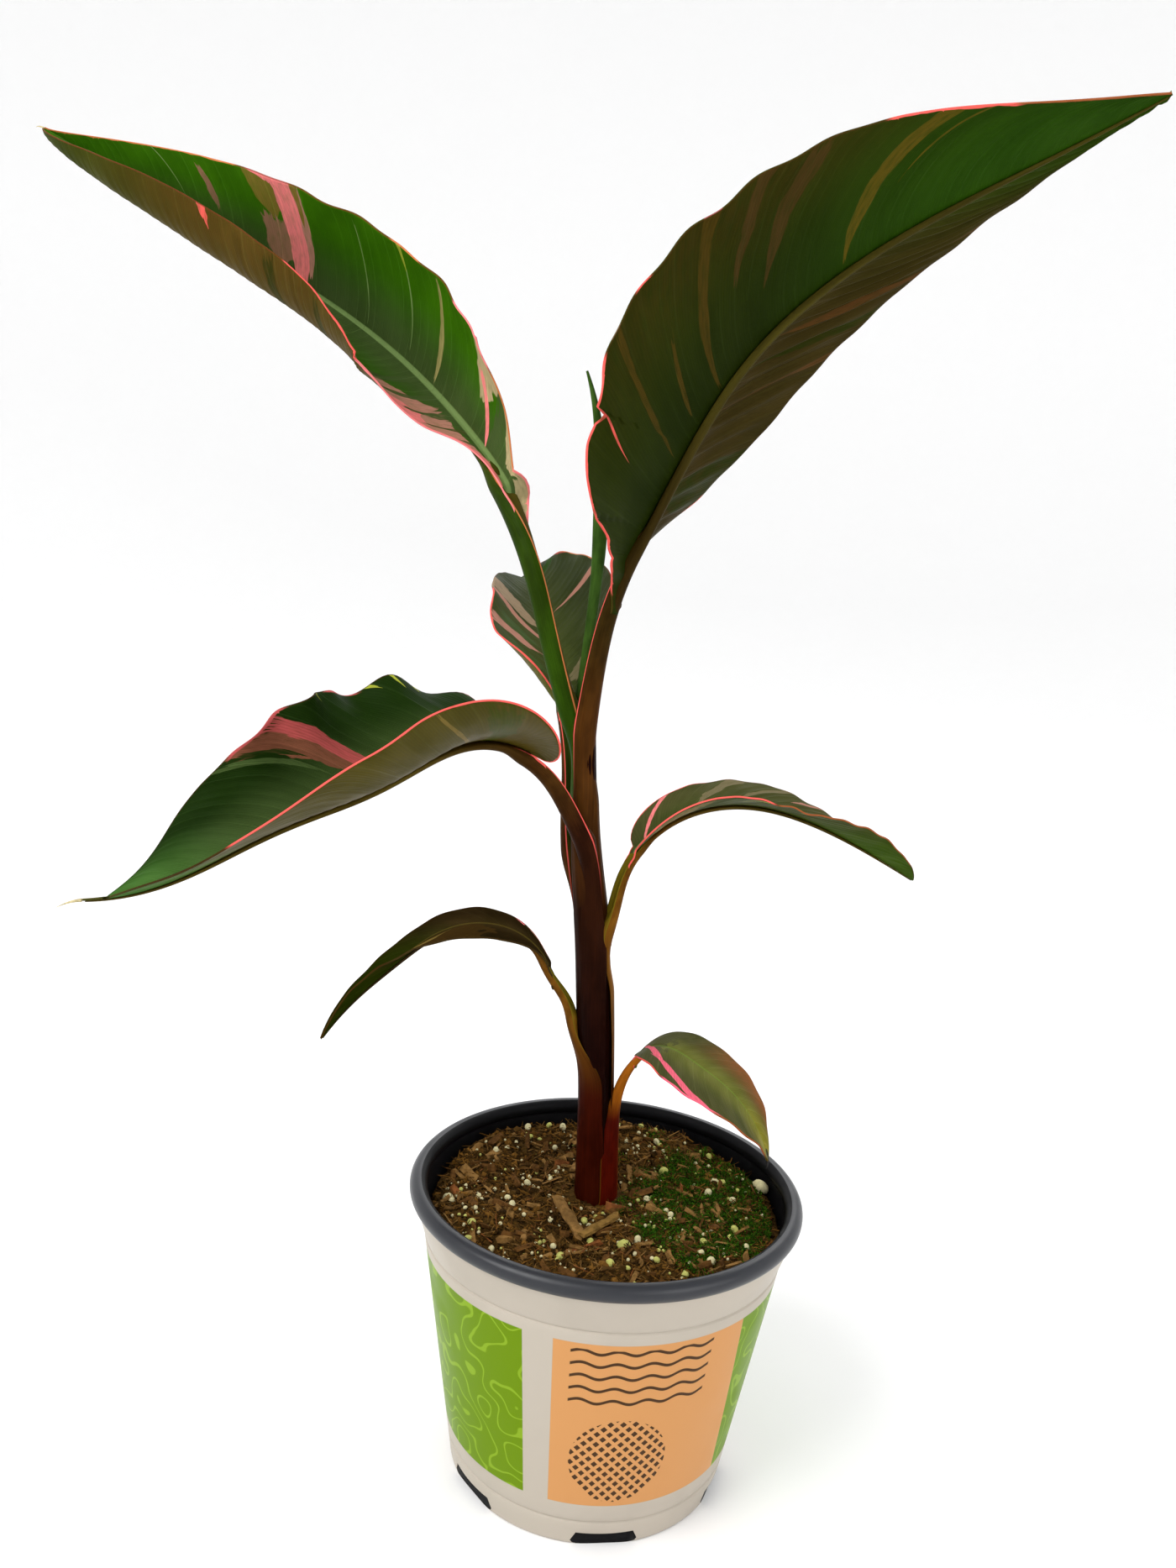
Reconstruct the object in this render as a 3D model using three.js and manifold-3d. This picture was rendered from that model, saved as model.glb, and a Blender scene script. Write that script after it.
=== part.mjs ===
// A young banana plant with streaked, pink-edged leaves, growing in a white nursery pot.
// Millimetres, +Z up. The origin is the centre of the pot's flat underside, and the plant is
// seen from the front along +Y, with +X to the right.
import * as THREE from 'three';
import Module from 'manifold-3d';
import { mergeVertices } from 'three/addons/utils/BufferGeometryUtils.js';

// Driving sizes of the pot and the soil
const CLEARANCE = 0.3;
const POT_HEIGHT = 114;
const POT_BASE_RADIUS = 54;
const POT_WALL = 1.8;
const POT_FLOOR = 2;
const BEAD_RADIUS = 3.3;
const BEAD_CENTRE_RADIUS = 72.7;
const BEAD_SIDES = 10;
const LOWER_GROOVE = { height: 10.5, radius: 55.5 };
const UPPER_GROOVE = { height: 93.5, radius: 69.5 };
const GROOVE_HALF_HEIGHT = 0.9;
const GROOVE_DEPTH = 0.6;
const POT_SEGMENTS = 44;
const NOTCH = {
  count: 6, turn: 11, widthBelow: 27, widthAbove: 21, height: 5.5, innerRadius: 49, depth: 12,
};
const SOIL = { top: 101, unevenness: 0.8, flatFoot: 22, segments: 36, rings: 6, gap: 0.7 };

// The pseudostem: rolled leaf bases, leaning to the left as it rises.
// Each station is a height, the centre there and the radius across the view and along it.
const STEM_STATIONS = [
  { z: SOIL.top + CLEARANCE, x: -5.5, y: 9, across: 8, along: 8.4 },
  { z: 108, x: -6, y: 9, across: 6.9, along: 7.4 },
  { z: 146, x: -8, y: 8, across: 6, along: 6.8 },
  { z: 176, x: -10.5, y: 7.5, across: 6.8, along: 7 },
  { z: 205, x: -13, y: 7, across: 6.8, along: 6.8 },
  { z: 246, x: -19, y: 6, across: 5.6, along: 6.2 },
  { z: 268, x: -21.3, y: 6, across: 5.3, along: 5.8 },
  { z: 286, x: -23, y: 7, across: 5.1, along: 5.4 },
];
const STEM_SIDES = 14;
const STEM_STEPS = 18;

// Leaves. Angles are in degrees. rise is how steeply the stalk climbs, at the root, the middle and
// the end of the petiole and then at the quarters of the blade. heading is the way it points seen
// from above, 0 to the right and 90 away, at the root, the end of the petiole, the middle of the
// blade and its tip. roll turns the blade about its midrib, at its base, middle and tip. sink is how
// far the petiole's end hangs below the midrib's upper face, as a share of its radius. Each half
// has its widest half width, how full its base and how slim its tip is, and how far it folds up
// beside the midrib and, at its edge, at the quarters of the blade. A lobe widens or narrows a
// half around one place along it. A blade is one solid, or two that part at the bend.
const LEAVES = [
  {
    name: 'upper_right', root: [-23, 6, 285], colour: 0x24400f, steps: 20, columns: 5,
    petiole: { length: 68, base: 4.7, neck: 3.1, sink: 0.15 },
    blade: { length: 216, parts: [''] },
    rise: [87, 81, 64, 58, 33, 19, 20], heading: [-19, -29, -35, -37], roll: [13, -6, -2],
    left: { width: 36, fullness: 0.39, slimness: 1.02, fold: 7, edge: [11, -15, -6, 4, 25] },
    right: { width: 51, fullness: 0.44, slimness: 0.87, fold: 12, edge: [-5, 20, 20, 36, 6] },
    leftLobe: { place: 0.1, spread: 0.07, amount: 5 }, rightLobe: { place: 0.1, spread: 0.06, amount: 4 },
  },
  {
    name: 'upper_left', root: [-27, 9, 288], colour: 0x1d4a16, steps: 20, columns: 5,
    petiole: { length: 103, base: 4.5, neck: 4.6, sink: 0.6 },
    blade: { length: 243, parts: [''] },
    rise: [67, 67, 42, 39, 28, 26, 25], heading: [148, 133, 185, 178], roll: [-27, -60, -67],
    left: { width: 47.5, fullness: 0.61, slimness: 0.66, fold: -1, edge: [82, 78, 119, 135, 111] },
    right: { width: 46, fullness: 0.46, slimness: 1.12, fold: 57, edge: [121, 106, 88, 53, 55] },
    leftLobe: { place: 0.15, spread: 0.09, amount: 7 }, rightLobe: null,
  },
  {
    name: 'middle_left', root: [-19, 0, 246], colour: 0x1f4424, steps: 20, columns: 5,
    petiole: { length: 43, base: 4.3, neck: 3.3, sink: 0.6 },
    blade: { length: 161, parts: ['_inner', '_outer'] },
    rise: [65, 56, 28, -26, -19, -29, -6], heading: [201, 216, 218, 188], roll: [-9, -12, 2],
    left: { width: 55, fullness: 0.45, slimness: 0.92, fold: 25, edge: [-22, 58, 58, 20, 12] },
    right: { width: 38, fullness: 0.56, slimness: 0.78, fold: 34, edge: [0, 24, 82, 50, -5] },
    leftLobe: null, rightLobe: { place: 0.68, spread: 0.13, amount: -4 },
  },
  {
    name: 'rear', root: [-24.8, 11.8, 236.5], colour: 0x3f4f3a, steps: 16, columns: 4,
    petiole: { length: 62, base: 3.4, neck: 2.6, sink: 0.6 },
    blade: { length: 142, parts: ['_inner', '_outer'] },
    rise: [79, 81, 26, 32, 27, 16, -26], heading: [135, 104, 108, 107], roll: [0, -7, -12],
    left: { width: 32, fullness: 0.47, slimness: 0.7, fold: 23, edge: [92, 38, 46, 22, 22] },
    right: { width: 37, fullness: 0.52, slimness: 0.84, fold: 30, edge: [84, 76, 47, 32, 32] },
    leftLobe: null, rightLobe: null,
  },
  {
    name: 'middle_right', root: [-8, 4, 212], colour: 0x2c3a22, steps: 16, columns: 3,
    petiole: { length: 33, base: 3, neck: 2.1, sink: 0.6 },
    blade: { length: 126, parts: ['_inner', '_outer'] },
    rise: [80, 80, 53, 15, -13, -25, -29], heading: [11, 19, 12, 17], roll: [11, 10, 0],
    left: { width: 15, fullness: 0.46, slimness: 0.73, fold: 22, edge: [36, 13, 15, 13, 15] },
    right: { width: 23, fullness: 0.51, slimness: 0.69, fold: 25, edge: [46, 38, 16, 37, 39] },
    leftLobe: null, rightLobe: null,
  },
  {
    name: 'lower_left', root: [-19, 6, 175], colour: 0x2b3320, steps: 16, columns: 3,
    petiole: { length: 24, base: 2.6, neck: 1.8, sink: 0.6 },
    blade: { length: 111, parts: ['_inner', '_outer'] },
    rise: [83, 55, 61, 3, -39, -46, -59], heading: [183, 185, 182, 192], roll: [-4, -5, -6],
    left: { width: 20, fullness: 0.55, slimness: 0.82, fold: 12, edge: [7, -6, 14, 46, 40] },
    right: { width: 8, fullness: 0.57, slimness: 0.73, fold: 38, edge: [38, 33, 33, 49, 47] },
    leftLobe: null, rightLobe: null,
  },
  {
    name: 'lower_right', root: [3, 7.5, SOIL.top + CLEARANCE], colour: 0x4c4a26, steps: 12, columns: 3,
    petiole: { length: 64, base: 3.7, neck: 1.6, sink: 0.6 },
    blade: { length: 71, parts: [''] },
    rise: [90, 91, 49, -14, -26, -51, -73], heading: [-13, -26, -24, -14], roll: [4, 5, -3],
    left: { width: 16, fullness: 0.55, slimness: 0.72, fold: 8, edge: [0, 5, 2, 5, 8] },
    right: { width: 22, fullness: 0.55, slimness: 0.71, fold: 8, edge: [0, -3, -3, 7, 16] },
    leftLobe: null, rightLobe: null,
  },
];
const PETIOLE_SIDES = 10;
const PETIOLE_STEPS = 9;
const BLADE_THINNEST = 1.1;
const BLADE_THICKNESS_SHARE = 1 / 90;
const TIP_HALF_WIDTH = 0.5;
const SEAM_PLACE = 0.42;

// The youngest leaf is still rolled into a spear between the two upper petioles
const SPEAR = {
  root: [-26, 14.6, 286.5], length: 132, sides: 10, steps: 14,
  rise: [88, 87, 88, 93, 98, 112], heading: 0, radii: [2.6, 2.2, 2.3, 3, 2.2, 0.5],
};

const degrees = THREE.MathUtils.degToRad;
const lerp = THREE.MathUtils.lerp;

// A smooth curve through values that stand at even places, or at the given ones
function smooth(values, t, places) {
  const last = values.length - 1;
  const at = places ?? values.map((_, index) => index / last);
  let i = 0;
  while (i < last - 1 && t >= at[i + 1]) i += 1;
  const slope = (k) => {
    const before = Math.max(k - 1, 0);
    const after = Math.min(k + 1, last);
    return (values[after] - values[before]) / (at[after] - at[before]);
  };
  const span = at[i + 1] - at[i];
  const u = (t - at[i]) / span;
  return (2 * u ** 3 - 3 * u ** 2 + 1) * values[i] + (u ** 3 - 2 * u ** 2 + u) * span * slope(i)
    + (3 * u ** 2 - 2 * u ** 3) * values[i + 1] + (u ** 3 - u ** 2) * span * slope(i + 1);
}

// Direction, sideways and upward axes of a stalk that climbs at rise and points to heading
function axesAt(rise, heading) {
  const p = degrees(rise);
  const h = degrees(heading);
  return {
    along: new THREE.Vector3(Math.cos(p) * Math.cos(h), Math.cos(p) * Math.sin(h), Math.sin(p)),
    side: new THREE.Vector3(-Math.sin(h), Math.cos(h), 0),
    upper: new THREE.Vector3(-Math.sin(p) * Math.cos(h), -Math.sin(p) * Math.sin(h), Math.cos(p)),
  };
}

// The line of a stalk: points with their axes, walked in small steps from its root
function courseOf(root, length, riseAt, headingAt, steps) {
  const point = root.clone();
  const finer = 4;
  const count = steps * finer;
  const course = [];
  for (let i = 0; i <= count; i += 1) {
    const t = i / count;
    if (i % finer === 0) course.push({ t, point: point.clone(), ...axesAt(riseAt(t), headingAt(t)) });
    const middle = Math.min(t + 0.5 / count, 1);
    point.addScaledVector(axesAt(riseAt(middle), headingAt(middle)).along, length / count);
  }
  return course;
}

// A closed body through rings of equally many points, each ring going round the same way
function loft(rings) {
  const sides = rings[0].length;
  const positions = rings.flat().flatMap((p) => [p.x, p.y, p.z]);
  const faces = [];
  for (let r = 0; r < rings.length - 1; r += 1) {
    for (let s = 0; s < sides; s += 1) {
      const a = r * sides + s;
      const b = r * sides + ((s + 1) % sides);
      faces.push(a, b, b + sides, a, b + sides, a + sides);
    }
  }
  const addCap = (ring, flip) => {
    const centre = ring.reduce((sum, p) => sum.add(p), new THREE.Vector3()).divideScalar(sides);
    const start = rings.indexOf(ring) * sides;
    const middle = positions.length / 3;
    positions.push(centre.x, centre.y, centre.z);
    for (let s = 0; s < sides; s += 1) {
      const next = (s + 1) % sides;
      faces.push(middle, start + (flip ? next : s), start + (flip ? s : next));
    }
  };
  addCap(rings[0], true);
  addCap(rings[rings.length - 1], false);
  const geometry = new THREE.BufferGeometry();
  geometry.setAttribute('position', new THREE.Float32BufferAttribute(positions, 3));
  geometry.setIndex(faces);
  return geometry;
}

// A tube along a course. Towards its end its centre sinks below the line by a share of its radius.
function tubeAlong(course, radiusAt, sides, extra = 0, sink = 0) {
  return loft(course.map(({ t, point, side, upper }) => {
    const radius = radiusAt(t) + extra;
    const centre = point.clone().addScaledVector(upper, -sink * t * radiusAt(t));
    const ring = [];
    for (let s = 0; s < sides; s += 1) {
      const angle = (2 * Math.PI * s) / sides;
      ring.push(centre.clone()
        .addScaledVector(side, radius * Math.cos(angle))
        .addScaledVector(upper, radius * Math.sin(angle)));
    }
    return ring;
  }));
}

const wasm = await Module();
wasm.setup();

function toSolid(geometry) {
  const bare = geometry.clone();
  bare.deleteAttribute('normal');
  bare.deleteAttribute('uv');
  const merged = mergeVertices(bare, 1e-4);
  const mesh = new wasm.Mesh({
    numProp: 3,
    vertProperties: Float32Array.from(merged.attributes.position.array),
    triVerts: Uint32Array.from(merged.index.array),
  });
  return new wasm.Manifold(mesh);
}

// The largest body of a solid, as a geometry: scraps that a cut leaves are dropped
function toGeometry(solid) {
  const bodies = solid.decompose().sort((a, b) => b.volume() - a.volume());
  const mesh = bodies[0].getMesh();
  const geometry = new THREE.BufferGeometry();
  geometry.setAttribute('position', new THREE.Float32BufferAttribute(mesh.vertProperties, 3));
  geometry.setIndex(Array.from(mesh.triVerts));
  return geometry;
}

// The pot

function potOuterProfile() {
  const groove = ({ height, radius }) => {
    const slope = (UPPER_GROOVE.radius - LOWER_GROOVE.radius) / (UPPER_GROOVE.height - LOWER_GROOVE.height);
    return [
      [radius - slope * GROOVE_HALF_HEIGHT, height - GROOVE_HALF_HEIGHT],
      [radius - GROOVE_DEPTH, height],
      [radius + slope * GROOVE_HALF_HEIGHT, height + GROOVE_HALF_HEIGHT],
    ];
  };
  return [[POT_BASE_RADIUS, 0], ...groove(LOWER_GROOVE), ...groove(UPPER_GROOVE)];
}

function beadProfile() {
  const centreHeight = POT_HEIGHT - BEAD_RADIUS;
  const from = degrees(-70);
  const to = degrees(230);
  const points = [];
  for (let i = 0; i <= BEAD_SIDES; i += 1) {
    const angle = lerp(from, to, i / BEAD_SIDES);
    points.push([
      BEAD_CENTRE_RADIUS + BEAD_RADIUS * Math.cos(angle),
      centreHeight + BEAD_RADIUS * Math.sin(angle),
    ]);
  }
  return points;
}

function potInnerProfile(inset) {
  return [
    [UPPER_GROOVE.radius - POT_WALL - inset, UPPER_GROOVE.height],
    [LOWER_GROOVE.radius - POT_WALL - inset, LOWER_GROOVE.height],
    [POT_BASE_RADIUS - POT_WALL - inset, POT_FLOOR + inset],
  ];
}

function makePot() {
  const profile = [[0, 0], ...potOuterProfile(), ...beadProfile(), ...potInnerProfile(0), [0, POT_FLOOR]];
  const lathe = new THREE.LatheGeometry(profile.map(([r, z]) => new THREE.Vector2(r, z)), POT_SEGMENTS);
  lathe.rotateX(Math.PI / 2);
  let solid = toSolid(lathe);
  const below = -1;
  const outline = new THREE.Shape([
    new THREE.Vector2(-NOTCH.widthBelow / 2, below),
    new THREE.Vector2(NOTCH.widthBelow / 2, below),
    new THREE.Vector2(NOTCH.widthAbove / 2, NOTCH.height),
    new THREE.Vector2(-NOTCH.widthAbove / 2, NOTCH.height),
  ]);
  for (let i = 0; i < NOTCH.count; i += 1) {
    const cutter = new THREE.ExtrudeGeometry(outline, { depth: NOTCH.depth, bevelEnabled: false });
    cutter.rotateX(Math.PI / 2);
    cutter.translate(0, -NOTCH.innerRadius, 0);
    cutter.rotateZ(degrees(NOTCH.turn + (360 * i) / NOTCH.count));
    solid = solid.subtract(toSolid(cutter));
  }
  return toGeometry(solid);
}

// The soil

function soilHeight(x, y) {
  const fromFoot = Math.hypot(x - STEM_STATIONS[0].x, y - STEM_STATIONS[0].y);
  const uneven = Math.min(Math.max(fromFoot / SOIL.flatFoot - 1, 0), 1);
  return SOIL.top + SOIL.unevenness * uneven * (Math.sin(0.11 * x + 0.6) + Math.cos(0.13 * y - 0.05 * x));
}

function makeSoil() {
  const rim = UPPER_GROOVE.radius - POT_WALL + SOIL.gap;
  const ringOf = (radius, heightAt) => Array.from({ length: SOIL.segments }, (_, s) => {
    const angle = (2 * Math.PI * s) / SOIL.segments;
    const x = radius * Math.cos(angle);
    const y = radius * Math.sin(angle);
    return new THREE.Vector3(x, y, heightAt(x, y));
  });
  const sideRings = potInnerProfile(SOIL.gap).reverse().map(([r, z]) => ringOf(r, () => z));
  const topRings = [];
  for (let i = SOIL.rings; i >= 1; i -= 1) topRings.push(ringOf((rim * i) / SOIL.rings, soilHeight));
  return loft([...sideRings, ...topRings]);
}

// The pseudostem

function stemRings(extra) {
  const heights = STEM_STATIONS.map((station) => station.z);
  const low = heights[0];
  const high = heights[heights.length - 1];
  const places = heights.map((z) => (z - low) / (high - low));
  const column = (key) => STEM_STATIONS.map((station) => station[key]);
  const rings = [];
  for (let i = 0; i <= STEM_STEPS; i += 1) {
    const t = (i / STEM_STEPS) ** 1.15;
    const centre = new THREE.Vector3(
      smooth(column('x'), t, places),
      smooth(column('y'), t, places),
      lerp(low - extra, high + extra, t),
    );
    const across = smooth(column('across'), t, places) + extra;
    const along = smooth(column('along'), t, places) + extra;
    rings.push(Array.from({ length: STEM_SIDES }, (_, s) => {
      const angle = (2 * Math.PI * s) / STEM_SIDES;
      return new THREE.Vector3(across * Math.cos(angle), along * Math.sin(angle), 0).add(centre);
    }));
  }
  return rings;
}

// Petioles and blades

function petioleCourse(leaf) {
  const [h0, h1] = leaf.heading;
  return courseOf(
    new THREE.Vector3(...leaf.root),
    leaf.petiole.length,
    (t) => smooth(leaf.rise.slice(0, 3), t),
    (t) => lerp(h0, h1, t),
    PETIOLE_STEPS,
  );
}

function petioleTube(leaf, extra) {
  const course = petioleCourse(leaf);
  const start = course[0];
  const end = course[course.length - 1];
  start.point = start.point.clone().addScaledVector(start.along, -extra);
  end.point = end.point.clone().addScaledVector(end.along, extra - CLEARANCE);
  const { base, neck, sink } = leaf.petiole;
  return tubeAlong(course, (t) => lerp(base, neck, t ** 0.8), PETIOLE_SIDES, extra, sink);
}

function bladeCourse(leaf) {
  const start = petioleCourse(leaf).pop().point;
  return courseOf(
    start,
    leaf.blade.length,
    (t) => smooth(leaf.rise.slice(2), t),
    (t) => smooth(leaf.heading.slice(1), t),
    leaf.steps,
  );
}

// Half width of one half of a blade at t, from the petiole's own width to the slim tip
function halfWidth({ width, fullness, slimness }, lobe, neck, t) {
  const widest = fullness / (fullness + slimness);
  const leafy = width * (t / widest) ** fullness * (Math.max(1 - t, 0) / (1 - widest)) ** slimness;
  const rounded = lobe ? Math.exp(-(((t - lobe.place) / lobe.spread) ** 2)) * Math.min(1, 25 * t) : 0;
  const lobed = lobe ? lobe.amount * rounded : 0;
  return Math.hypot(leafy + lobed, lerp(neck, TIP_HALF_WIDTH, t));
}

// A point of the blade's upper face, u across from the midrib, 0, to the edge, 1
function bladePoint(leaf, station, half, u) {
  const sign = half === leaf.left ? 1 : -1;
  const roll = degrees(smooth(leaf.roll, station.t));
  const cos = Math.cos(roll);
  const sin = Math.sin(roll);
  const side = station.side.clone().multiplyScalar(cos).addScaledVector(station.upper, sin);
  const upper = station.upper.clone().multiplyScalar(cos).addScaledVector(station.side, -sin);
  const first = degrees(half.fold);
  const turn = (degrees(smooth(half.edge, station.t)) - first) * u;
  const bend = Math.abs(turn) < 1e-6 ? 1 : Math.sin(turn / 2) / (turn / 2);
  const lobe = half === leaf.left ? leaf.leftLobe : leaf.rightLobe;
  const reach = u * halfWidth(half, lobe, leaf.petiole.neck, station.t) * bend;
  const angle = first + turn / 2;
  return station.point.clone()
    .addScaledVector(side, sign * reach * Math.cos(angle))
    .addScaledVector(upper, reach * Math.sin(angle));
}

// The thin closed body of a blade between two stations: upper face, lower face and rim
function bladeBody(leaf, course, thickness) {
  const across = [];
  const rib = 0.12;
  for (let c = leaf.columns; c >= 1; c -= 1) across.push([leaf.left, c / leaf.columns]);
  across.push([leaf.left, rib], [leaf.left, 0], [leaf.right, rib]);
  for (let c = 1; c <= leaf.columns; c += 1) across.push([leaf.right, c / leaf.columns]);
  const upperRows = course.map((station) => across.map(([half, u]) => bladePoint(leaf, station, half, u)));
  const rings = upperRows.map((row, i) => {
    const before = upperRows[Math.max(i - 1, 0)];
    const after = upperRows[Math.min(i + 1, upperRows.length - 1)];
    const lower = row.map((p, j) => {
      const sideways = row[Math.min(j + 1, row.length - 1)].clone().sub(row[Math.max(j - 1, 0)]);
      const lengthways = after[j].clone().sub(before[j]);
      const normal = sideways.cross(lengthways).normalize();
      const keel = across[j][1] === 0 ? leaf.petiole.neck * 0.9 * (1 - course[i].t) ** 0.8 : 0;
      return p.clone().addScaledVector(normal, -(thickness + keel));
    });
    return [...row, ...lower.reverse()];
  });
  return loft(rings);
}

// A block that fills all space on one side of a station's cross plane, and half a gap beyond it
function blockBeside(station, sign) {
  const size = 600;
  const block = new THREE.BoxGeometry(size, size, size);
  block.translate(0, 0, sign * (size - CLEARANCE) / 2);
  const axes = new THREE.Matrix4().makeBasis(station.side, station.upper, station.along);
  block.applyMatrix4(axes.setPosition(station.point));
  return toSolid(block);
}

// The blade as one solid, or as two with a gap at the seam, all clear of the stalks
function bladeSolids(leaf, keepOut) {
  const course = bladeCourse(leaf);
  const { length, parts } = leaf.blade;
  const thickness = Math.max(BLADE_THINNEST, (length / parts.length) * BLADE_THICKNESS_SHARE);
  const uncut = toSolid(bladeBody(leaf, course, thickness));
  const whole = keepOut.reduce((rest, grown) => rest.subtract(grown), uncut);
  if (parts.length === 1) return [whole];
  const seam = course[Math.round(SEAM_PLACE * leaf.steps)];
  return [whole.subtract(blockBeside(seam, 1)), whole.subtract(blockBeside(seam, -1))];
}

function makeSpear(extra) {
  const course = courseOf(
    new THREE.Vector3(...SPEAR.root),
    SPEAR.length,
    (t) => smooth(SPEAR.rise, t),
    () => SPEAR.heading,
    SPEAR.steps,
  );
  return tubeAlong(course, (t) => smooth(SPEAR.radii, t), SPEAR.sides, extra);
}

// The assembly. Each stalk is cut 0.3 mm clear of the stem and of the stalks before it.

const plant = new THREE.Group();

function addMesh(name, geometry, colour, roughness) {
  const material = new THREE.MeshStandardMaterial({ color: colour, roughness, metalness: 0 });
  const mesh = new THREE.Mesh(geometry, material);
  mesh.name = name;
  plant.add(mesh);
}

addMesh('pot', makePot(), 0xe6e2da, 0.35);
addMesh('soil', makeSoil(), 0x3c2a1c, 0.95);
addMesh('pseudostem', loft(stemRings(0)), 0x2c100c, 0.4);

const keepOut = [toSolid(loft(stemRings(CLEARANCE)))];

function addStalk(name, tubeWith, colour) {
  const solid = keepOut.reduce((rest, grown) => rest.subtract(grown), toSolid(tubeWith(0)));
  addMesh(name, toGeometry(solid), colour, 0.45);
  keepOut.push(toSolid(tubeWith(CLEARANCE)));
}

for (const leaf of LEAVES) {
  addStalk(`petiole_${leaf.name}`, (extra) => petioleTube(leaf, extra), 0x3a1c12);
  bladeSolids(leaf, keepOut).forEach((solid, i) => {
    addMesh(`blade_${leaf.name}${leaf.blade.parts[i]}`, toGeometry(solid), leaf.colour, 0.5);
  });
}
addStalk('leaf_rolled', makeSpear, 0x2c5a2c);

export default plant;
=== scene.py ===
"""A young banana plant in a printed nursery pot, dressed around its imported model. Metres, +Z up."""
import math

import bmesh
import bpy
import numpy as np
from mathutils import Matrix, Vector, noise


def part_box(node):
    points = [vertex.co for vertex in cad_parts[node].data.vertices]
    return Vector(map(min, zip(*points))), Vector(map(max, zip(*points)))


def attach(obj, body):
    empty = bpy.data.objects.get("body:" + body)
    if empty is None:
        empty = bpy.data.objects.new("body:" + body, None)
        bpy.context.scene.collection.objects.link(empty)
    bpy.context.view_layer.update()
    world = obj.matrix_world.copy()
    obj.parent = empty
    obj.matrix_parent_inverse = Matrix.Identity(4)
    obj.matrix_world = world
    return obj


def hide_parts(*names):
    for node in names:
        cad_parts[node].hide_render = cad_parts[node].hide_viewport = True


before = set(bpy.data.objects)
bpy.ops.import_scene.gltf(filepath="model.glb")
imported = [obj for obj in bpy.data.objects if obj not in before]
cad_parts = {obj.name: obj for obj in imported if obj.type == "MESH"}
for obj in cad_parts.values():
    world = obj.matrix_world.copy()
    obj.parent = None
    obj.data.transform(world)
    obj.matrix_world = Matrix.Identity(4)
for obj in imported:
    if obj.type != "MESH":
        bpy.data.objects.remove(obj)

bl_info = {
    "name": "Banana plant in a nursery pot",
    "version": (1, 0, 0),
    "blender": (4, 5, 0),
    "location": "3D View > Sidebar > Banana Plant",
    "description": "Builds the pot, the soil, the stem, the stalks and the leaves of a young banana plant",
    "category": "Add Mesh",
}

# Lengths in the tables below are millimetres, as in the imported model, and angles are degrees
MM = 0.001
TURN = 2 * np.pi
BODY = "root"
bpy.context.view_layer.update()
POT_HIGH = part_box("pot")[1]


def srgb(red, green, blue):
    """A colour given as 0 to 255 on a screen, as the linear values that a shader takes."""
    shares = [value / 255 for value in (red, green, blue)]
    return tuple(s / 12.92 if s < 0.04045 else ((s + 0.055) / 1.055) ** 2.4 for s in shares)


def rows(table):
    """The rows of a table in text: each is a name and then numbers, with a semicolon between two."""
    return [(name, *map(float, numbers)) for name, *numbers in map(str.split, table.split(";"))]


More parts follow.
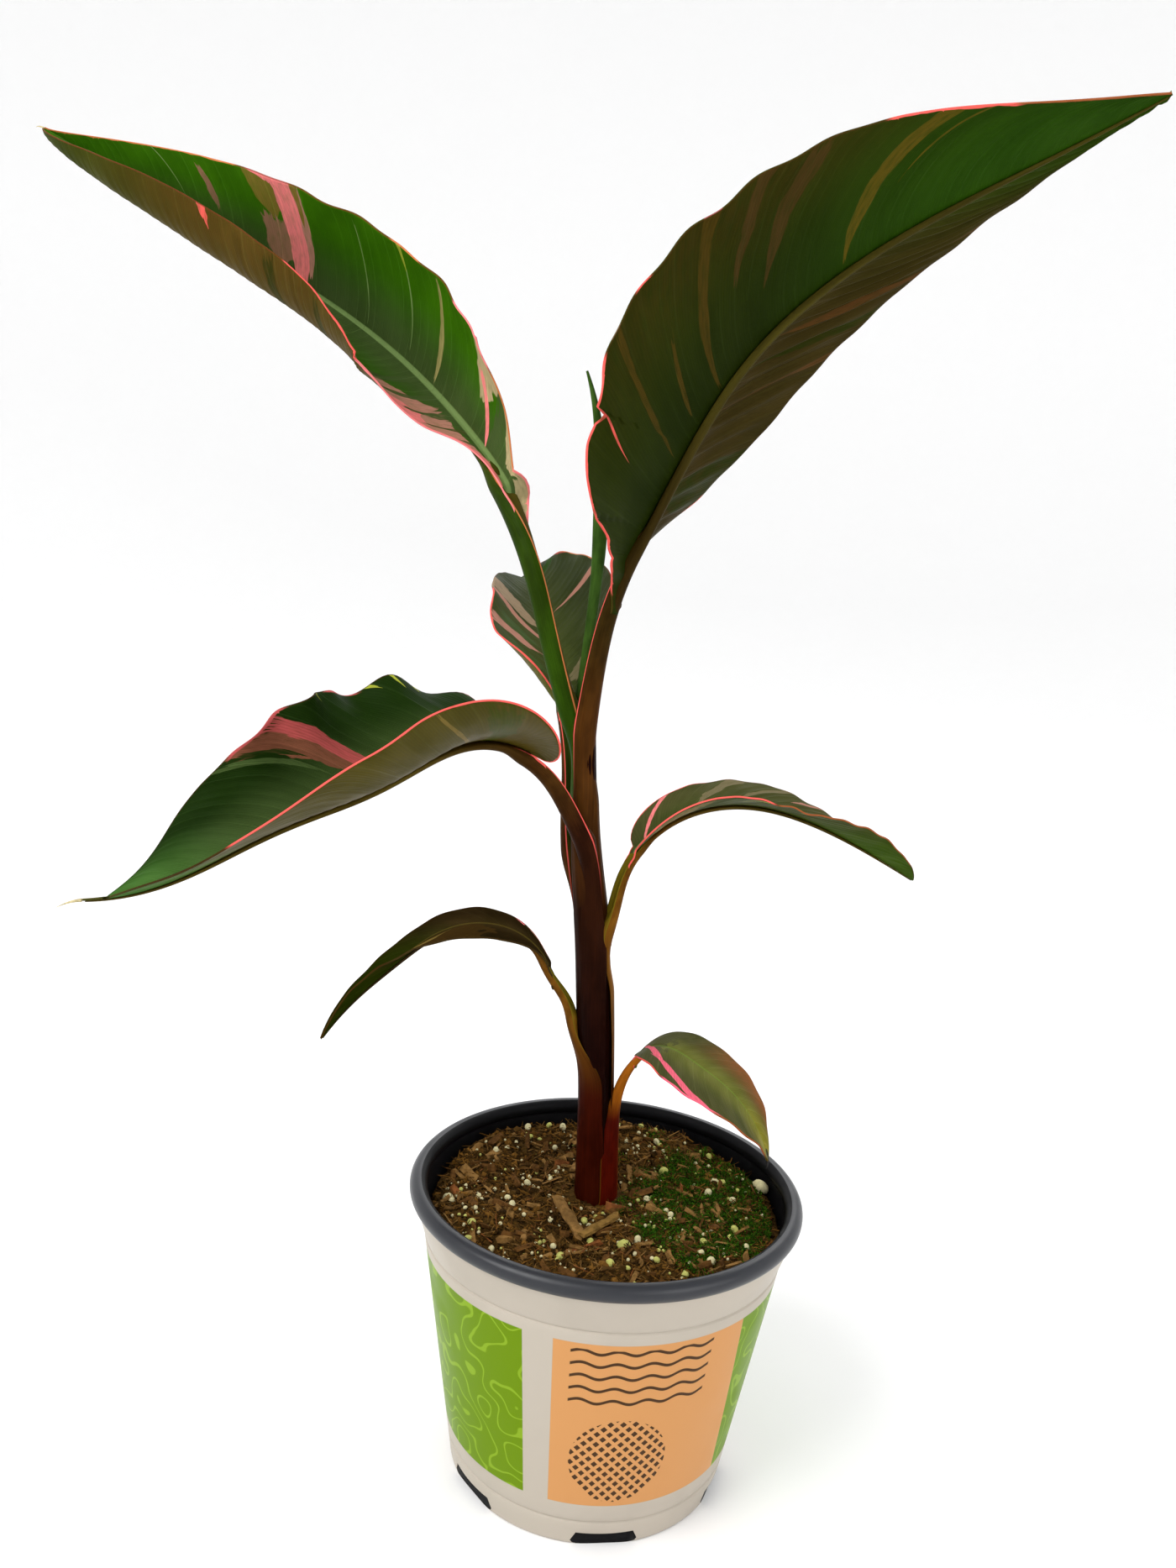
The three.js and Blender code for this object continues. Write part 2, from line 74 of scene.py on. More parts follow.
# The leaves, with the same course and outline as their solids.
# rise is how steeply a stalk climbs, at the root, the middle and the end of the petiole and then at
# the quarters of the blade. heading is the way it points seen from above. roll turns the blade about
# its midrib, and twist turns the channel along the petiole. Each half has its widest half width, how
# full its base and how slim its tip is, and how far it folds up beside the midrib and, at its edge, at
# the quarters. A lobe widens or narrows it. A base opens the first stretch of a half: how far it goes,
# then half widths and folds at even places. sweep is how far the side veins run towards the tip, as a
# share of the blade. A flange runs on down the petiole: its length, and the height, place and spread of
# its swelling. ripple is height, pitch, start and end of the waves along each margin. relief is how far
# the veins stand up on the right and on the left. ridges lie on one side, with a height and a pitch. A
# notch has its half, place, spread and depth, and a tear its place, how far across it starts and how
# deep it is. merge is where, measured down from the root, the stalk turns into its sheath.
# Each face has the paints of its middle, its margin and its tip, and how strong its veins are. turn is
# where the tip's paint comes in. half is a side, its paint and how strong it is. blush is a side, how far
# it reaches in, how strong it is, its start, end and paint. A streak has a paint, then place along
# the veins and place across, at its start and at its end, the half widths there and how ragged it is.
# Across is -1 at the right edge of the blade, 0 on the midrib and 1 at the left edge.
# An edge has a paint, its side, start, end and width.
LEAVES = {
    "upper_right": {
        "root": (-23, 6, 285), "petiole": (68, 4.7, 3.1, 0.15), "length": 216, "sweep": 0.225,
        "rise": (87, 81, 64, 58, 33, 19, 20), "heading": (-19, -29, -35, -37), "roll": (13, -6, -2),
        "twist": (0, 4, 9, 13), "left": (36, 0.39, 1.02, 7, (11, -15, -6, 4, 25)),
        "left_lobe": (0.1, 0.07, 5), "right": (51, 0.44, 0.87, 12, (-5, 20, 20, 36, 6)),
        "right_lobe": (0.1, 0.06, 4), "right_base": (0.06, (3.5, 9.5, 14.5, 23.5, 33), (-5, 0, 4, 7, 10)),
        "parts": ("",), "columns": 30, "relief": (0.08, 0.2), "flange": (21, 13, 0, 10),
        "ripple": {"left": (0.25, 30, 0.1, 0.9), "right": (1.2, 29, 0.2, 0.7)}, "ridges": (1, 0.85, 8.5),
        "upper": {
            "paints": "grey_green leaf_green leaf_green", "vein": 0.4, "streaks": """
            olive .551 -1.1 .549 -.1 5.5 2.5 .4; salmon .298 -1.1 .298 -.3 2.2 1.2 .4;
            dusty_cream .177 -1.1 .172 -.3 1.8 1 .5; salmon .42 1.1 .42 .3 3 1.5 .5"""},
        "under": {
            "paints": "under_deep under_shade fresh_green", "vein": 0.1, "turn": (0.34, 0.78),
            "half": (1, "under_brown", 0.65), "blush": (-1, 0.6, 0.14, 0.15, 0.5, "blush_brown"),
            "streaks": """
            streak_tan .566 -1.1 .552 -.08 4.2 2.4 .35; streak_tan .62 -1.1 .6 -.5 .8 .5 .6;
            under_streak .298 -1.1 .302 -.02 2.1 1.7 .3; under_streak .178 -1 .172 -.15 1 1.2 .5;
            under_streak .245 -.62 .236 -.15 .7 1.3 .5; under_brown .42 -1 .41 -.35 3.4 2.4 .5;
            under_brown .36 -1.1 .355 -.45 2.6 1.6 .5; under_rust .4 1.1 .4 .12 2.4 1.2 .4;
            under_rust .5 1.1 .49 .15 1.6 .9 .4; under_rust .26 1.1 .255 .15 1.5 1 .4;
            under_shade .33 1.1 .33 .2 3 2 .5; under_shade .09 1.1 .1 .15 9 6 .4;
            coral .1145 -1 .1085 -.56 .34 .16 .1"""},
        "edges": """
            coral -1 -.062 0 .9; coral -1 -.02 .075 1.9; coral -1 .07 .2 .9; coral -1 .2 .28 1.1;
            coral -1 .36 .39 .7; coral -1 .71 .86 .9; rust_pink -1 .85 1.02 .4; coral 1 .085 .13 .9""",
        "rim": "rim_brown", "tear": (0.108, -0.52, 2.2), "notch": ("right", 0.204, 0.055, 4.2),
        "stalk": ("stem_maroon", "stem_brown", "petiole_dark", "rib_olive"), "channel": "stem_brown",
        "lip": "coral", "merge": (-6, 26),
    },
    "upper_left": {
        "root": (-27, 9, 288), "petiole": (103, 4.5, 4.6, 0.6), "length": 243, "sweep": 0.08,
        "rise": (67, 67, 42, 39, 28, 26, 25), "heading": (148, 133, 185, 178), "roll": (-27, -60, -67),
        "twist": (28, 38, 42, 3), "left": (47.5, 0.61, 0.66, -1, (82, 78, 119, 135, 111)),
        "left_lobe": (0.15, 0.09, 7),
        "left_base": (0.3, (4.4, 5.2, 9.5, 20, 29, 36, 44), (20, 22, 30, 40, 55, 69, 79)),
        "right": (46, 0.46, 1.12, 57, (121, 106, 88, 53, 55)),
        "right_base": (0.16, (5.5, 14, 24, 33.5, 42.4), (121, 119, 115, 112, 110)), "parts": ("",),
        "columns": 32, "relief": (0.09, 0.14), "flange": (26, 3.2, -6, 7),
        "ripple": {"left": (0.3, 30, 0.3, 0.9), "right": (0.55, 34, 0.15, 0.75)},
        "upper": {
            # The grey green near the midrib is partly the leaf's own colour and partly a painted sheen.
            "paints": "grey_green leaf_green leaf_green", "vein": 0.4, "streaks": """
            olive .566 -1.1 .56 -.55 7.4 7 .25; dusty_tan .56 -.55 .556 -.05 7 6 .4;
            dusty_pink .503 -1 .503 -.12 2.4 3 .25; olive .503 -1 .503 -.6 1.9 1.2 .5;
            salmon .53 -1.1 .516 .3 5 3.4 .2; salmon .552 -1.1 .55 -.93 13 6 .3;
            yellow_green .313 -1.1 .306 -.76 1.3 .5 .5; pale_green .306 -.8 .3 -.1 .35 .25 .2;
            pale_green .4 -.9 .39 -.1 .25 .25 .3; pale_green .76 -1 .73 -.25 .35 .25 .2;
            cream_green .236 -.99 .236 -.08 .5 2.2 .3; dusty_tan .683 -.86 .668 -.3 1 2.4 .6;
            grey_green 0 -1.1 .03 .1 20 14 .3; dusty_cream .105 -1.1 .122 -.4 9 5 .35;
            grey_green .075 -.66 .07 .1 3 2.6 .5; salmon .125 -.7 .078 0 1.8 1.2 .25;
            dusty_cream .02 -1.1 .02 -.4 9 5 .3; dusty_cream -.05 -1.1 -.05 -.2 11 11 .3;
            dusty_pink .14 1.1 .17 .2 42 22 .3; salmon .17 1.1 .17 .55 12 6 .4;
            grey_green .225 .8 .21 -.1 1.6 2.6 .5; grey_green .175 .74 .16 -.1 1.5 2.6 .5;
            moss_grey .135 .7 .12 -.1 1 1.8 .5; grey_green .285 .9 .26 -.1 2.2 2.8 .5;
            grey_green .09 .66 .08 -.1 1.4 2.4 .5; salmon .02 1.1 .02 .35 13 9 .3;
            olive .62 1.1 .62 .3 4 3 .4"""},
        "under": {
            "paints": "under_olive under_olive under_moss", "vein": 0.22,
            "blush": (1, 0.8, 0.22, 0.3, 0.7, "blush_brown"), "streaks": """
            coral .6 1.1 .585 .86 3.6 1 1; under_streak .53 .95 .53 .2 2 1.4 .4;
            under_streak .42 .95 .41 .2 1.6 1.4 .5; under_dark .47 .95 .47 .2 3 2 .5;
            under_dark .36 .95 .36 .3 2.4 2 .5; dusty_cream .14 1.1 .17 .55 12 5 .5;
            dusty_pink .53 -1.1 .52 -.06 3.4 1.9 .3; under_streak .566 -1.1 .56 -.1 7.4 7 .3;
            dusty_cream .02 -1.1 .02 -.35 8 4 .3"""},
        "edges": """
            salmon -1 -.2 .02 1.4; amber_pink -1 0 .12 .7; salmon -1 .12 .24 1; amber_pink -1 .33 .4 .5;
            amber_pink -1 .68 1.02 .7; salmon 1 -.2 .03 1.4; salmon 1 .02 .24 4.4; salmon 1 .2 .3 2.4;
            coral 1 .29 .4 .9; coral 1 .39 .52 .4""",
        "rim": "rim_red", "stalk": ("petiole_green", "petiole_green", "petiole_olive", "under_olive"),
        "channel": "under_olive", "lip": "amber_pink", "merge": (-6, 24),
    },
    "middle_left": {
        "root": (-19, 0, 246), "petiole": (43, 4.3, 3.3, 0.6), "length": 161, "sweep": 0.22, "end": 0.955,
        "rise": (65, 56, 28, -26, -19, -29, -6), "heading": (201, 216, 218, 188), "roll": (-9, -12, 2),
        "twist": (-4, -5, -7, -9), "left": (55, 0.45, 0.92, 25, (-22, 58, 58, 20, 12)),
        "right": (38, 0.56, 0.78, 34, (0, 24, 82, 50, -5)), "right_lobe": (0.68, 0.13, -4),
        "parts": ("_inner", "_outer"), "columns": 28, "relief": (0.1, 0.07), "flange": (14, 0.8, 0, 7),
        "ripple": {"left": (0.15, 40, 0.1, 0.9), "right": (2.1, 27, 0.06, 0.66, 8.5)},
        "upper": {
            "paints": "grey_green deep_green sage_green", "vein": 0.3, "streaks": """
            dusty_rose .4 -1.1 .37 -.1 6 4 .5; rose .35 -1.02 .345 .1 3.4 2.4 .5;
            grey_green .45 -1 .42 -.3 1.6 1.4 .5; deep_green .425 -.95 .4 -.5 1.6 1 .5;
            yellow_green .1 -1.1 .108 -.88 .5 .3 1.6; yellow_green .125 -1.1 .13 -.8 .6 .3 1.6;
            yellow_green .15 -1.1 .15 -.9 .6 .3 1.6; yellow_green .25 -1.1 .25 -.92 .6 .3 1.6;
            dry_straw 1 -1.1 1 1.1 7.6 7.6 .1"""},
        "under": {
            "paints": "under_olive under_tan sage_green", "vein": 0.12, "turn": (0.55, 0.9), "streaks": """
            olive_light .19 .9 .17 -.1 .5 .8 .45; under_olive .06 1.1 .06 -.2 9 8 .5;
            under_moss .115 1 .115 -.2 3.4 3.6 .6; dry_straw 1 -1.1 1 1.1 7.6 7.6 .1;
            dusty_rose .375 -1.02 .385 -.3 2.6 5.2 .45"""},
        "edges": """
            coral 1 -.2 .05 1.3; coral 1 .04 .3 .4; coral 1 .29 .72 .34; rose -1 .5 .64 1.6;
            rose -1 .28 .38 1.4; rose -1 .06 .12 .8""",
        "rim": "rim_brown", "stalk": ("stem_dark", "stem_maroon", "petiole_brown", "under_olive"),
        "channel": "petiole_brown", "lip": "coral", "merge": (-4, 30),
    },
    "rear": {
        "root": (-24.8, 11.8, 236.5), "petiole": (62, 3.4, 2.6, 0.6), "length": 142, "sweep": 0.18,
        "rise": (79, 81, 26, 32, 27, 16, -26), "heading": (135, 104, 108, 107), "roll": (0, -7, -12),
        "twist": (0, 0, 0, 0), "left": (30, 0.47, 1.1, 23, (92, 38, 46, 22, 22)),
        "right": (37, 0.52, 0.84, 30, (84, 76, 47, 32, 32)), "parts": ("_inner", "_outer"), "columns": 24,
        "relief": (0.1, 0.08), "flange": (10, 0, 0, 6),
        "ripple": {"left": (0.3, 30, 0.2, 0.9), "right": (0.4, 24, 0.4, 0.95)},
        "upper": {
            "paints": "moss_grey dark_olive deep_green", "vein": 0.2, "streaks": """
            moss_grey .2 1.1 .22 -.3 24 20 .25; grey_green .27 .8 .27 .2 3.4 2.6 .5;
            grey_green .16 .8 .16 .1 4 3 .5; tan_pink .43 1.1 .4 .1 9 7 .4;
            dusty_pink .35 1.05 .33 0 2.6 2.2 .35; dusty_pink .22 1 .24 .2 3 2.6 .35;
            dusty_pink .4 -1.1 .46 -.2 2.2 1.4 .3; dusty_grey .12 -1.1 .12 -.1 10 6 .4;
            rose .66 -1.1 .66 -.9 10 5 .4; fresh_green .72 -.9 .72 -.1 3 3 .6"""},
        "under": {
            "paints": "under_olive under_green under_green", "vein": 0.25,
            "blush": (1, 0.5, 0.4, 0.0, 0.5, "blush_brown"), "streaks": """
            dusty_pink .42 1.1 .38 .2 7 3 .5; under_streak .4 -1.1 .46 -.2 3 2 .4"""},
        "edges": """
            coral 1 -.1 .5 .8; tan_pink 1 .5 .66 2; coral -1 -.1 .3 .6; amber_pink -1 .55 .95 .9""",
        "rim": "rim_red", "stalk": ("stem_brown", "stem_brown", "petiole_brown", "pale_green"),
        "channel": "petiole_olive", "lip": "coral", "merge": (-4, 22),
    },
    "middle_right": {
        "root": (-8, 4, 212), "petiole": (33, 3, 2.1, 0.6), "length": 126, "sweep": 0.2,
        "rise": (80, 80, 53, 15, -13, -25, -29), "heading": (11, 19, 12, 17), "roll": (11, 10, 0),
        "twist": (14, 18, 16, 12), "left": (15, 0.46, 0.73, 22, (36, 13, 15, 13, 15)),
        "right": (23, 0.51, 0.69, 25, (46, 38, 16, 37, 39)), "parts": ("_inner", "_outer"), "columns": 20,
        "relief": (0.1, 0.1), "flange": (12, 0.3, 0, 6),
        "ripple": {"left": (0.25, 18, 0.2, 0.9), "right": (0.3, 15, 0.3, 0.95)},
        "upper": {
            "paints": "moss_grey dusty_moss tip_green", "vein": 0.45, "streaks": """
            salmon .1 1.05 .03 -.1 1.2 .9 .3; dusty_grey .24 1.1 .22 .1 3 2 .5;
            dusty_grey .36 1.1 .34 .1 2 1.5 .5; dusty_pink .45 1.1 .45 .5 1.6 1 .5"""},
        "under": {
            "paints": "under_moss under_moss tip_green", "vein": 0.2, "turn": (0.45, 0.8), "streaks": """
            yellow_green .25 -.95 .25 -.6 .7 .5 .9; yellow_green .38 -.95 .38 -.7 .8 .5 .9;
            olive_light .1 -.9 .1 0 8 6 .4"""},
        "edges": """
            coral 1 -.1 .3 .5; coral -1 -.1 .42 .26; rust_pink -1 .42 .95 .2; rust_pink 1 .3 .8 .25""",
        "rim": "rim_brown", "stalk": ("stem_red", "petiole_tan", "amber_brown", "under_olive"),
        "channel": "petiole_yellow", "lip": "petiole_yellow", "merge": (-2, 26),
    },
    "lower_left": {
        "root": (-19, 6, 175), "petiole": (24, 2.6, 1.8, 0.6), "length": 111, "sweep": 0.16,
        "rise": (83, 55, 61, 3, -39, -46, -59), "heading": (183, 185, 182, 192), "roll": (-4, -5, -6),
        "twist": (-22, -16, -8, -4), "left": (20, 0.55, 0.82, 12, (7, -6, 14, 46, 40)),
        "right": (8, 0.57, 0.73, 38, (38, 33, 33, 49, 47)), "parts": ("_inner", "_outer"), "columns": 18,
        "relief": (0.08, 0.08), "flange": (10, 0.3, 0, 6), "taper": 0.075,
        "ripple": {"left": (0.2, 22, 0.2, 0.9), "right": (0.2, 20, 0.2, 0.9)},
        "upper": {
            "paints": "umber umber_dark under_shade", "vein": 0.25, "rib": ("olive", 0.35),
            "turn": (0.3, 0.6), "streaks": """
            under_brown .3 1.1 .3 .1 14 12 .5; olive_light .36 1.1 .36 .3 3 1.6 .5;
            salmon .11 -1.1 .1 -.85 1.5 1 .4"""},
        "under": {
            "paints": "umber umber_dark under_shade", "vein": 0.2, "turn": (0.3, 0.6), "streaks": """
            olive_light .4 1.1 .4 .2 1.4 .8 .5"""},
        "edges": """
            umber 1 -.1 .6 .4; dusty_pink -1 .02 .14 .5""",
        "rim": "rim_brown", "stalk": ("stem_red", "stem_red", "petiole_tan", "umber"),
        "channel": "petiole_yellow", "reddened": (-1.32, -0.95), "shine": 0.0, "lip": "petiole_yellow",
        "merge": (-4, 24),
    },
    "lower_right": {
        "root": (0.8, 7.5, 102.6), "petiole": (64, 4.4, 1.6, 0.6), "length": 71, "sweep": 0.2,
        "rise": (90, 91, 49, -14, -26, -51, -73), "heading": (-13, -26, -24, -14), "roll": (4, 5, -3),
        "twist": (0, 0, 2, 4), "left": (16, 0.55, 0.72, 8, (0, 5, 2, 5, 8)),
        "right": (22, 0.55, 0.71, 8, (0, -3, -3, 7, 16)), "parts": ("",), "columns": 20,
        "relief": (0.08, 0.08), "flange": (6, 0, 0, 4),
        "ripple": {"left": (0.2, 18, 0.2, 0.9), "right": (0.3, 17, 0.2, 0.9)},
        "upper": {
            "paints": "olive_green dusty_moss olive_gold", "vein": 0.35, "rib": ("rib_green", 0.55),
            "blush": (1, 0.85, 0.85, 0.28, 0.72, "rust_pink"), "streaks": """
            dusty_moss .08 1.1 .1 -.9 6 6 .8; pink .15 -.62 .03 .3 1.9 1.5 .05;
            pink .15 -.6 .44 -1.16 3.4 3.8 .05; dry_black 1 -1.1 1 1.1 5 5 .2"""},
        "under": {
            "paints": "olive_green under_green olive_gold", "vein": 0.3,
            "blush": (1, 0.5, 0.5, 0.3, 1.2, "blush_brown"), "streaks": """
            dusty_pink .052 .05 .2 -.9 .8 2.4 .2"""},
        "edges": """
            coral -1 -.1 .3 .5; pink -1 .3 .66 .8; coral 1 -.1 .1 .5; rust_pink 1 .4 .9 .5;
            rust_pink -1 .6 .95 .4""",
        "rim": "rim_brown", "stalk": ("sheath_red", "sheath_red", "amber", "olive_green"),
        "channel": "amber", "reddened": (-0.5, -0.3), "lip": "amber_brown", "merge": (-46, -12),
    },
}
TIP_HALF_WIDTH = 0.5

# Dried threads that end some of the tips: length, first radius and how far it curls
TIP_THREADS = {"upper_left": (7, 0.45, 50), "middle_left": (9, 0.6, 25), "lower_right": (4, 0.7, 35)}

# The pseudostem: height, centre and radius across the view and along it
STEM_STATIONS = (
    (101.3, -4.6, 9, 7, 7.4), (108, -4.8, 9, 6.9, 7.3), (146, -7, 8, 6.4, 6.9), (176, -9.9, 7.5, 7, 7),
    (205, -12.9, 7, 6.9, 6.8), (246, -19.2, 6, 5.7, 6.2), (268, -21.4, 6, 5.3, 5.8), (286, -23, 7, 5.1, 5.4),
)
STEM_BELOW_SOIL = 5
CORE_INSET = 0.7

# Sheaths, the leaf bases that wrap the stem: their lowest height and, at even heights from there up to
# the petiole's root, the angles where each begins and ends, seen from above with 270 towards the
# camera. level is how many sheaths lie under it, and swell how far it stands off them in its middle.
SHEATHS = {
    "upper_right": {"low": 205, "level": 0.6, "from": (196, 205, 262), "to": (400, 405, 412)},
    "upper_left": {"low": 205, "level": 0, "from": (20, 40, 75), "to": (250, 250, 225)},
    "middle_left": {
        "low": 99, "level": 1.2, "from": (70, 85, 100, 130, 165, 172), "to": (300, 300, 305, 309, 315, 285),
    },
    "rear": {"low": 140, "level": 0.6, "from": (48, 62, 85, 98), "to": (198, 196, 192, 176)},
    "middle_right": {
        "low": 99, "level": 1.6, "from": (300, 322, 330, 332, 326, 340), "to": (425, 418, 414, 408, 404, 396),
    },
    "lower_left": {"low": 97, "level": 2.4, "from": (45, 70, 100, 135, 160), "to": (312, 303, 292, 284, 226)},
    "lower_right": {"low": 95, "level": 2.6, "from": (276, 282, 288), "to": (412, 408, 404), "swell": 1.5},
}

# The youngest leaf, still rolled into a spear
SPEAR = {
    "root": (-26, 14.6, 286.5), "length": 132, "rise": (88, 87, 88, 93, 98, 112), "heading": (0, 0),
    "radii": (2.6, 2.2, 2.3, 3, 2.2, 0.5),
}

# The pot: radius and height of its grooves, and the notches in its foot
POT_BASE_RADIUS = 54
POT_WALL = 1.8
POT_FLOOR = 2
FOOT_ROUND = 1.2
BEAD_CENTRE_RADIUS = 72.7
LOWER_GROOVE = (55.5, 10.5)
UPPER_GROOVE = (69.5, 93.5)
GROOVE_HALF_HEIGHT = 0.9
GROOVE_DEPTH = 0.6
POT_SLOPE = (UPPER_GROOVE[0] - LOWER_GROOVE[0]) / (UPPER_GROOVE[1] - LOWER_GROOVE[1])
NOTCH = {"count": 6, "turn": 11, "below": 27, "above": 21, "height": 5.5, "inner": 52.7, "depth": 8}

# The print on the pot: its lowest and highest height, the angles of the bare strip beside the peach
# panel, and the radius that turns an angle into a length round the pot. On the peach panel waved lines
# are ruled between two heights and two angles, and small diamonds fill a disc.
PRINT_HEIGHTS = (18.4, 88.6)
STRIP = (-20.7, -11.2)
WRAP_RADIUS = 62.5
RULE_HEIGHTS = (62.5, 86.5)
RULE_ANGLES = (-6.0, 38.0)
RULE_SPACING = 5.2
DISC_CENTRE = (13.0, 38.5)
DISC_RADIUS = 18.0
DIAMOND_PITCH = 4.4

# The soil: its height before its clods, how much higher it is at the back, and its gap to the wall.
# Nothing is scattered within STEMS_RADIUS of the middle of the stems.
SOIL_LEVEL = 102
SOIL_RISE = 4.5
SOIL_GAP = 0.7
STEMS_CENTRE = (-4, 8.7)
STEMS_RADIUS = 10.5

# The photograph's camera: its place, how it is turned, and its focal length in pixels
CAMERA_PLACE = (0, -432, 334)
CAMERA_PITCH, CAMERA_ROLL, CAMERA_YAW = 8.7, 4.6, -2.6
FOCAL_PIXELS = 1403
PHOTO_HEIGHT = 1867
SENSOR = 36


def colour_setting(label, about, shade):
    return bpy.props.FloatVectorProperty(name=label, description=about, default=srgb(*shade), subtype="COLOR")


def length_setting(label, about, default):
    return bpy.props.FloatProperty(name=label, description=about, default=default, unit="LENGTH")


def count_setting(label, about, default):
    return bpy.props.IntProperty(name=label, description=about, default=default)


class PlantPotSettings(bpy.types.PropertyGroup):
    height: length_setting("Height", "Height of the pot over its rim", POT_HIGH.z)
    bead_radius: length_setting("Bead radius", "Radius of the rolled rim", 0.0033)
    plastic: colour_setting("Plastic", "Colour of the outside", (182, 173, 160))
    bead: colour_setting("Bead", "Colour of the rolled rim", (32, 34, 40))
    inside: colour_setting("Inside", "Colour of the inner wall", (14, 14, 16))
    print_green: colour_setting("Print green", "Ground of the green panels", (102, 134, 8))
    print_pale: colour_setting("Print pale", "Lines on the green panels", (138, 170, 40))
    print_peach: colour_setting("Print peach", "Ground of the peach panel", (200, 144, 90))
    print_slate: colour_setting("Print slate", "Marks on the peach panel", (36, 26, 20))


class PlantSoilSettings(bpy.types.PropertyGroup):
    roughness: length_setting("Roughness", "Height of the clods of peat", 0.0016)
    crumbs: count_setting("Crumbs", "Number of peat crumbs", 5200)
    fibres: count_setting("Fibres", "Number of peat fibres", 4200)
    chips: count_setting("Chips", "Number of bark chips", 230)
    perlite_grains: count_setting("Perlite", "Number of perlite grains", 420)
    moss_leaves: count_setting("Moss", "Number of moss leaves", 15000)
    seed: count_setting("Seed", "Seed of the scattering", 7)
    peat: colour_setting("Peat", "Colour of the peat", (92, 66, 28))
    bark: colour_setting("Bark", "Colour of the bark chips", (150, 112, 62))
    perlite: colour_setting("Perlite colour", "Colour of the perlite", (226, 216, 168))
    moss: colour_setting("Moss colour", "Colour of the moss", (58, 104, 12))


class PlantLeafSettings(bpy.types.PropertyGroup):
    thickness: length_setting("Thickness", "Thickness of a blade", 0.0006)
    vein_spacing: length_setting("Vein spacing", "Distance between side veins", 0.0048)
    rows_per_vein: count_setting("Rows per vein", "Rows of faces between two side veins", 6)
    rib_width: length_setting("Midrib width", "Width of the pale midrib at the base", 0.0042)
    seed: count_setting("Seed", "Seed of the veins and ripples", 21)


# Named colours of the blades and stalks
PAINTS = {name: shade for name, *shade in rows("""
    deep_green 26 46 8; leaf_green 58 108 8; fresh_green 37 68 5; grey_green 66 84 42; sage_green 70 112 46;
    moss_grey 66 74 34; under_green 92 96 44; under_moss 58 66 10; under_dark 40 46 6; under_olive 78 66 20;
    under_brown 66 48 20; under_rust 84 54 24; dark_olive 54 62 30; olive 122 106 42;
    olive_light 122 102 50; olive_green 110 112 50; olive_gold 138 128 36; pale_green 122 148 86;
    yellow_green 170 176 60; under_streak 70 54 14; blush_brown 104 50 24; coral 238 96 88;
    salmon 246 132 132; amber_pink 206 122 72; rose 176 78 76; dusty_rose 124 74 54; dusty_pink 186 130 112;
    dusty_cream 184 166 124; dusty_grey 116 106 76; rust_pink 150 84 48; umber 64 50 26;
    umber_dark 46 34 16; rim_brown 70 44 20; rim_red 112 48 28; stem_dark 26 6 3; stem_maroon 46 20 6;
    stem_red 58 15 4; stem_brown 72 42 12; petiole_green 42 70 6; petiole_olive 42 64 8;
    petiole_tan 118 76 20; under_deep 28 38 4; under_shade 37 46 5; streak_tan 90 74 18; under_tan 78 70 26;
    dusty_moss 78 78 42; tip_green 60 84 12; rib_olive 68 62 18; rib_green 108 134 52; tan_pink 158 134 106;
    petiole_dark 50 36 8; petiole_brown 68 42 12; petiole_yellow 108 98 20; amber_brown 98 62 12;
    amber 184 106 26; cream_green 150 140 86; dusty_tan 150 108 84; pink 244 104 128; sheath_red 84 16 4;
    dry_black 20 16 10; dry_straw 206 190 140; spear_green 60 90 32
""")}


class PlantPaintSettings(bpy.types.PropertyGroup):
    """One colour for each named paint of the blades and stalks."""

    __annotations__ = {
        key: colour_setting(key.replace("_", " ").capitalize(), "A colour of the blades and stalks", shade)
        for key, shade in PAINTS.items()
    }


class PlantStageSettings(bpy.types.PropertyGroup):
    floor: bpy.props.FloatVectorProperty(
        name="Floor", description="Colour of the floor", default=(0.96, 0.96, 0.96), subtype="COLOR",
    )
    key_power: bpy.props.FloatProperty(
        name="Key light", description="Power of the main light in watts", default=36, unit="POWER",
    )
    fill_power: bpy.props.FloatProperty(
        name="Fill light", description="Power of the fill light in watts", default=12, unit="POWER",
    )
    sky: bpy.props.FloatProperty(name="Sky", description="Strength of the surrounding light", default=0.75)


# Meshes


def add_piece(name, vertices, faces, materials, face_materials=None, maps=None, smooth_shading=True):
    """A mesh object from points in millimetres. maps holds, by name, one (u, v) pair per point."""
    mesh = bpy.data.meshes.new(name)
    mesh.from_pydata((np.asarray(vertices) * MM).tolist(), [], [list(map(int, face)) for face in faces])
    for material in materials:
        mesh.materials.append(material)
    if face_materials is not None:
        mesh.polygons.foreach_set("material_index", np.asarray(face_materials, np.int32))
    mesh.polygons.foreach_set("use_smooth", np.full(len(mesh.polygons), smooth_shading))
    corners = np.zeros(len(mesh.loops), np.int32)
    mesh.loops.foreach_get("vertex_index", corners)
    for map_name, pairs in (maps or {}).items():
        layer = mesh.uv_layers.new(name=map_name)
        layer.uv.foreach_set("vector", np.asarray(pairs, np.float32)[corners].ravel())
    mesh.validate()
    mesh.update()
    piece = bpy.data.objects.new(name, mesh)
    bpy.context.scene.collection.objects.link(piece)
    return piece


def dress(piece, slot, *nodes):
    """The piece rides on the plant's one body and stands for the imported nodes."""
    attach(piece, BODY)
    if nodes:
        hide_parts(*nodes)


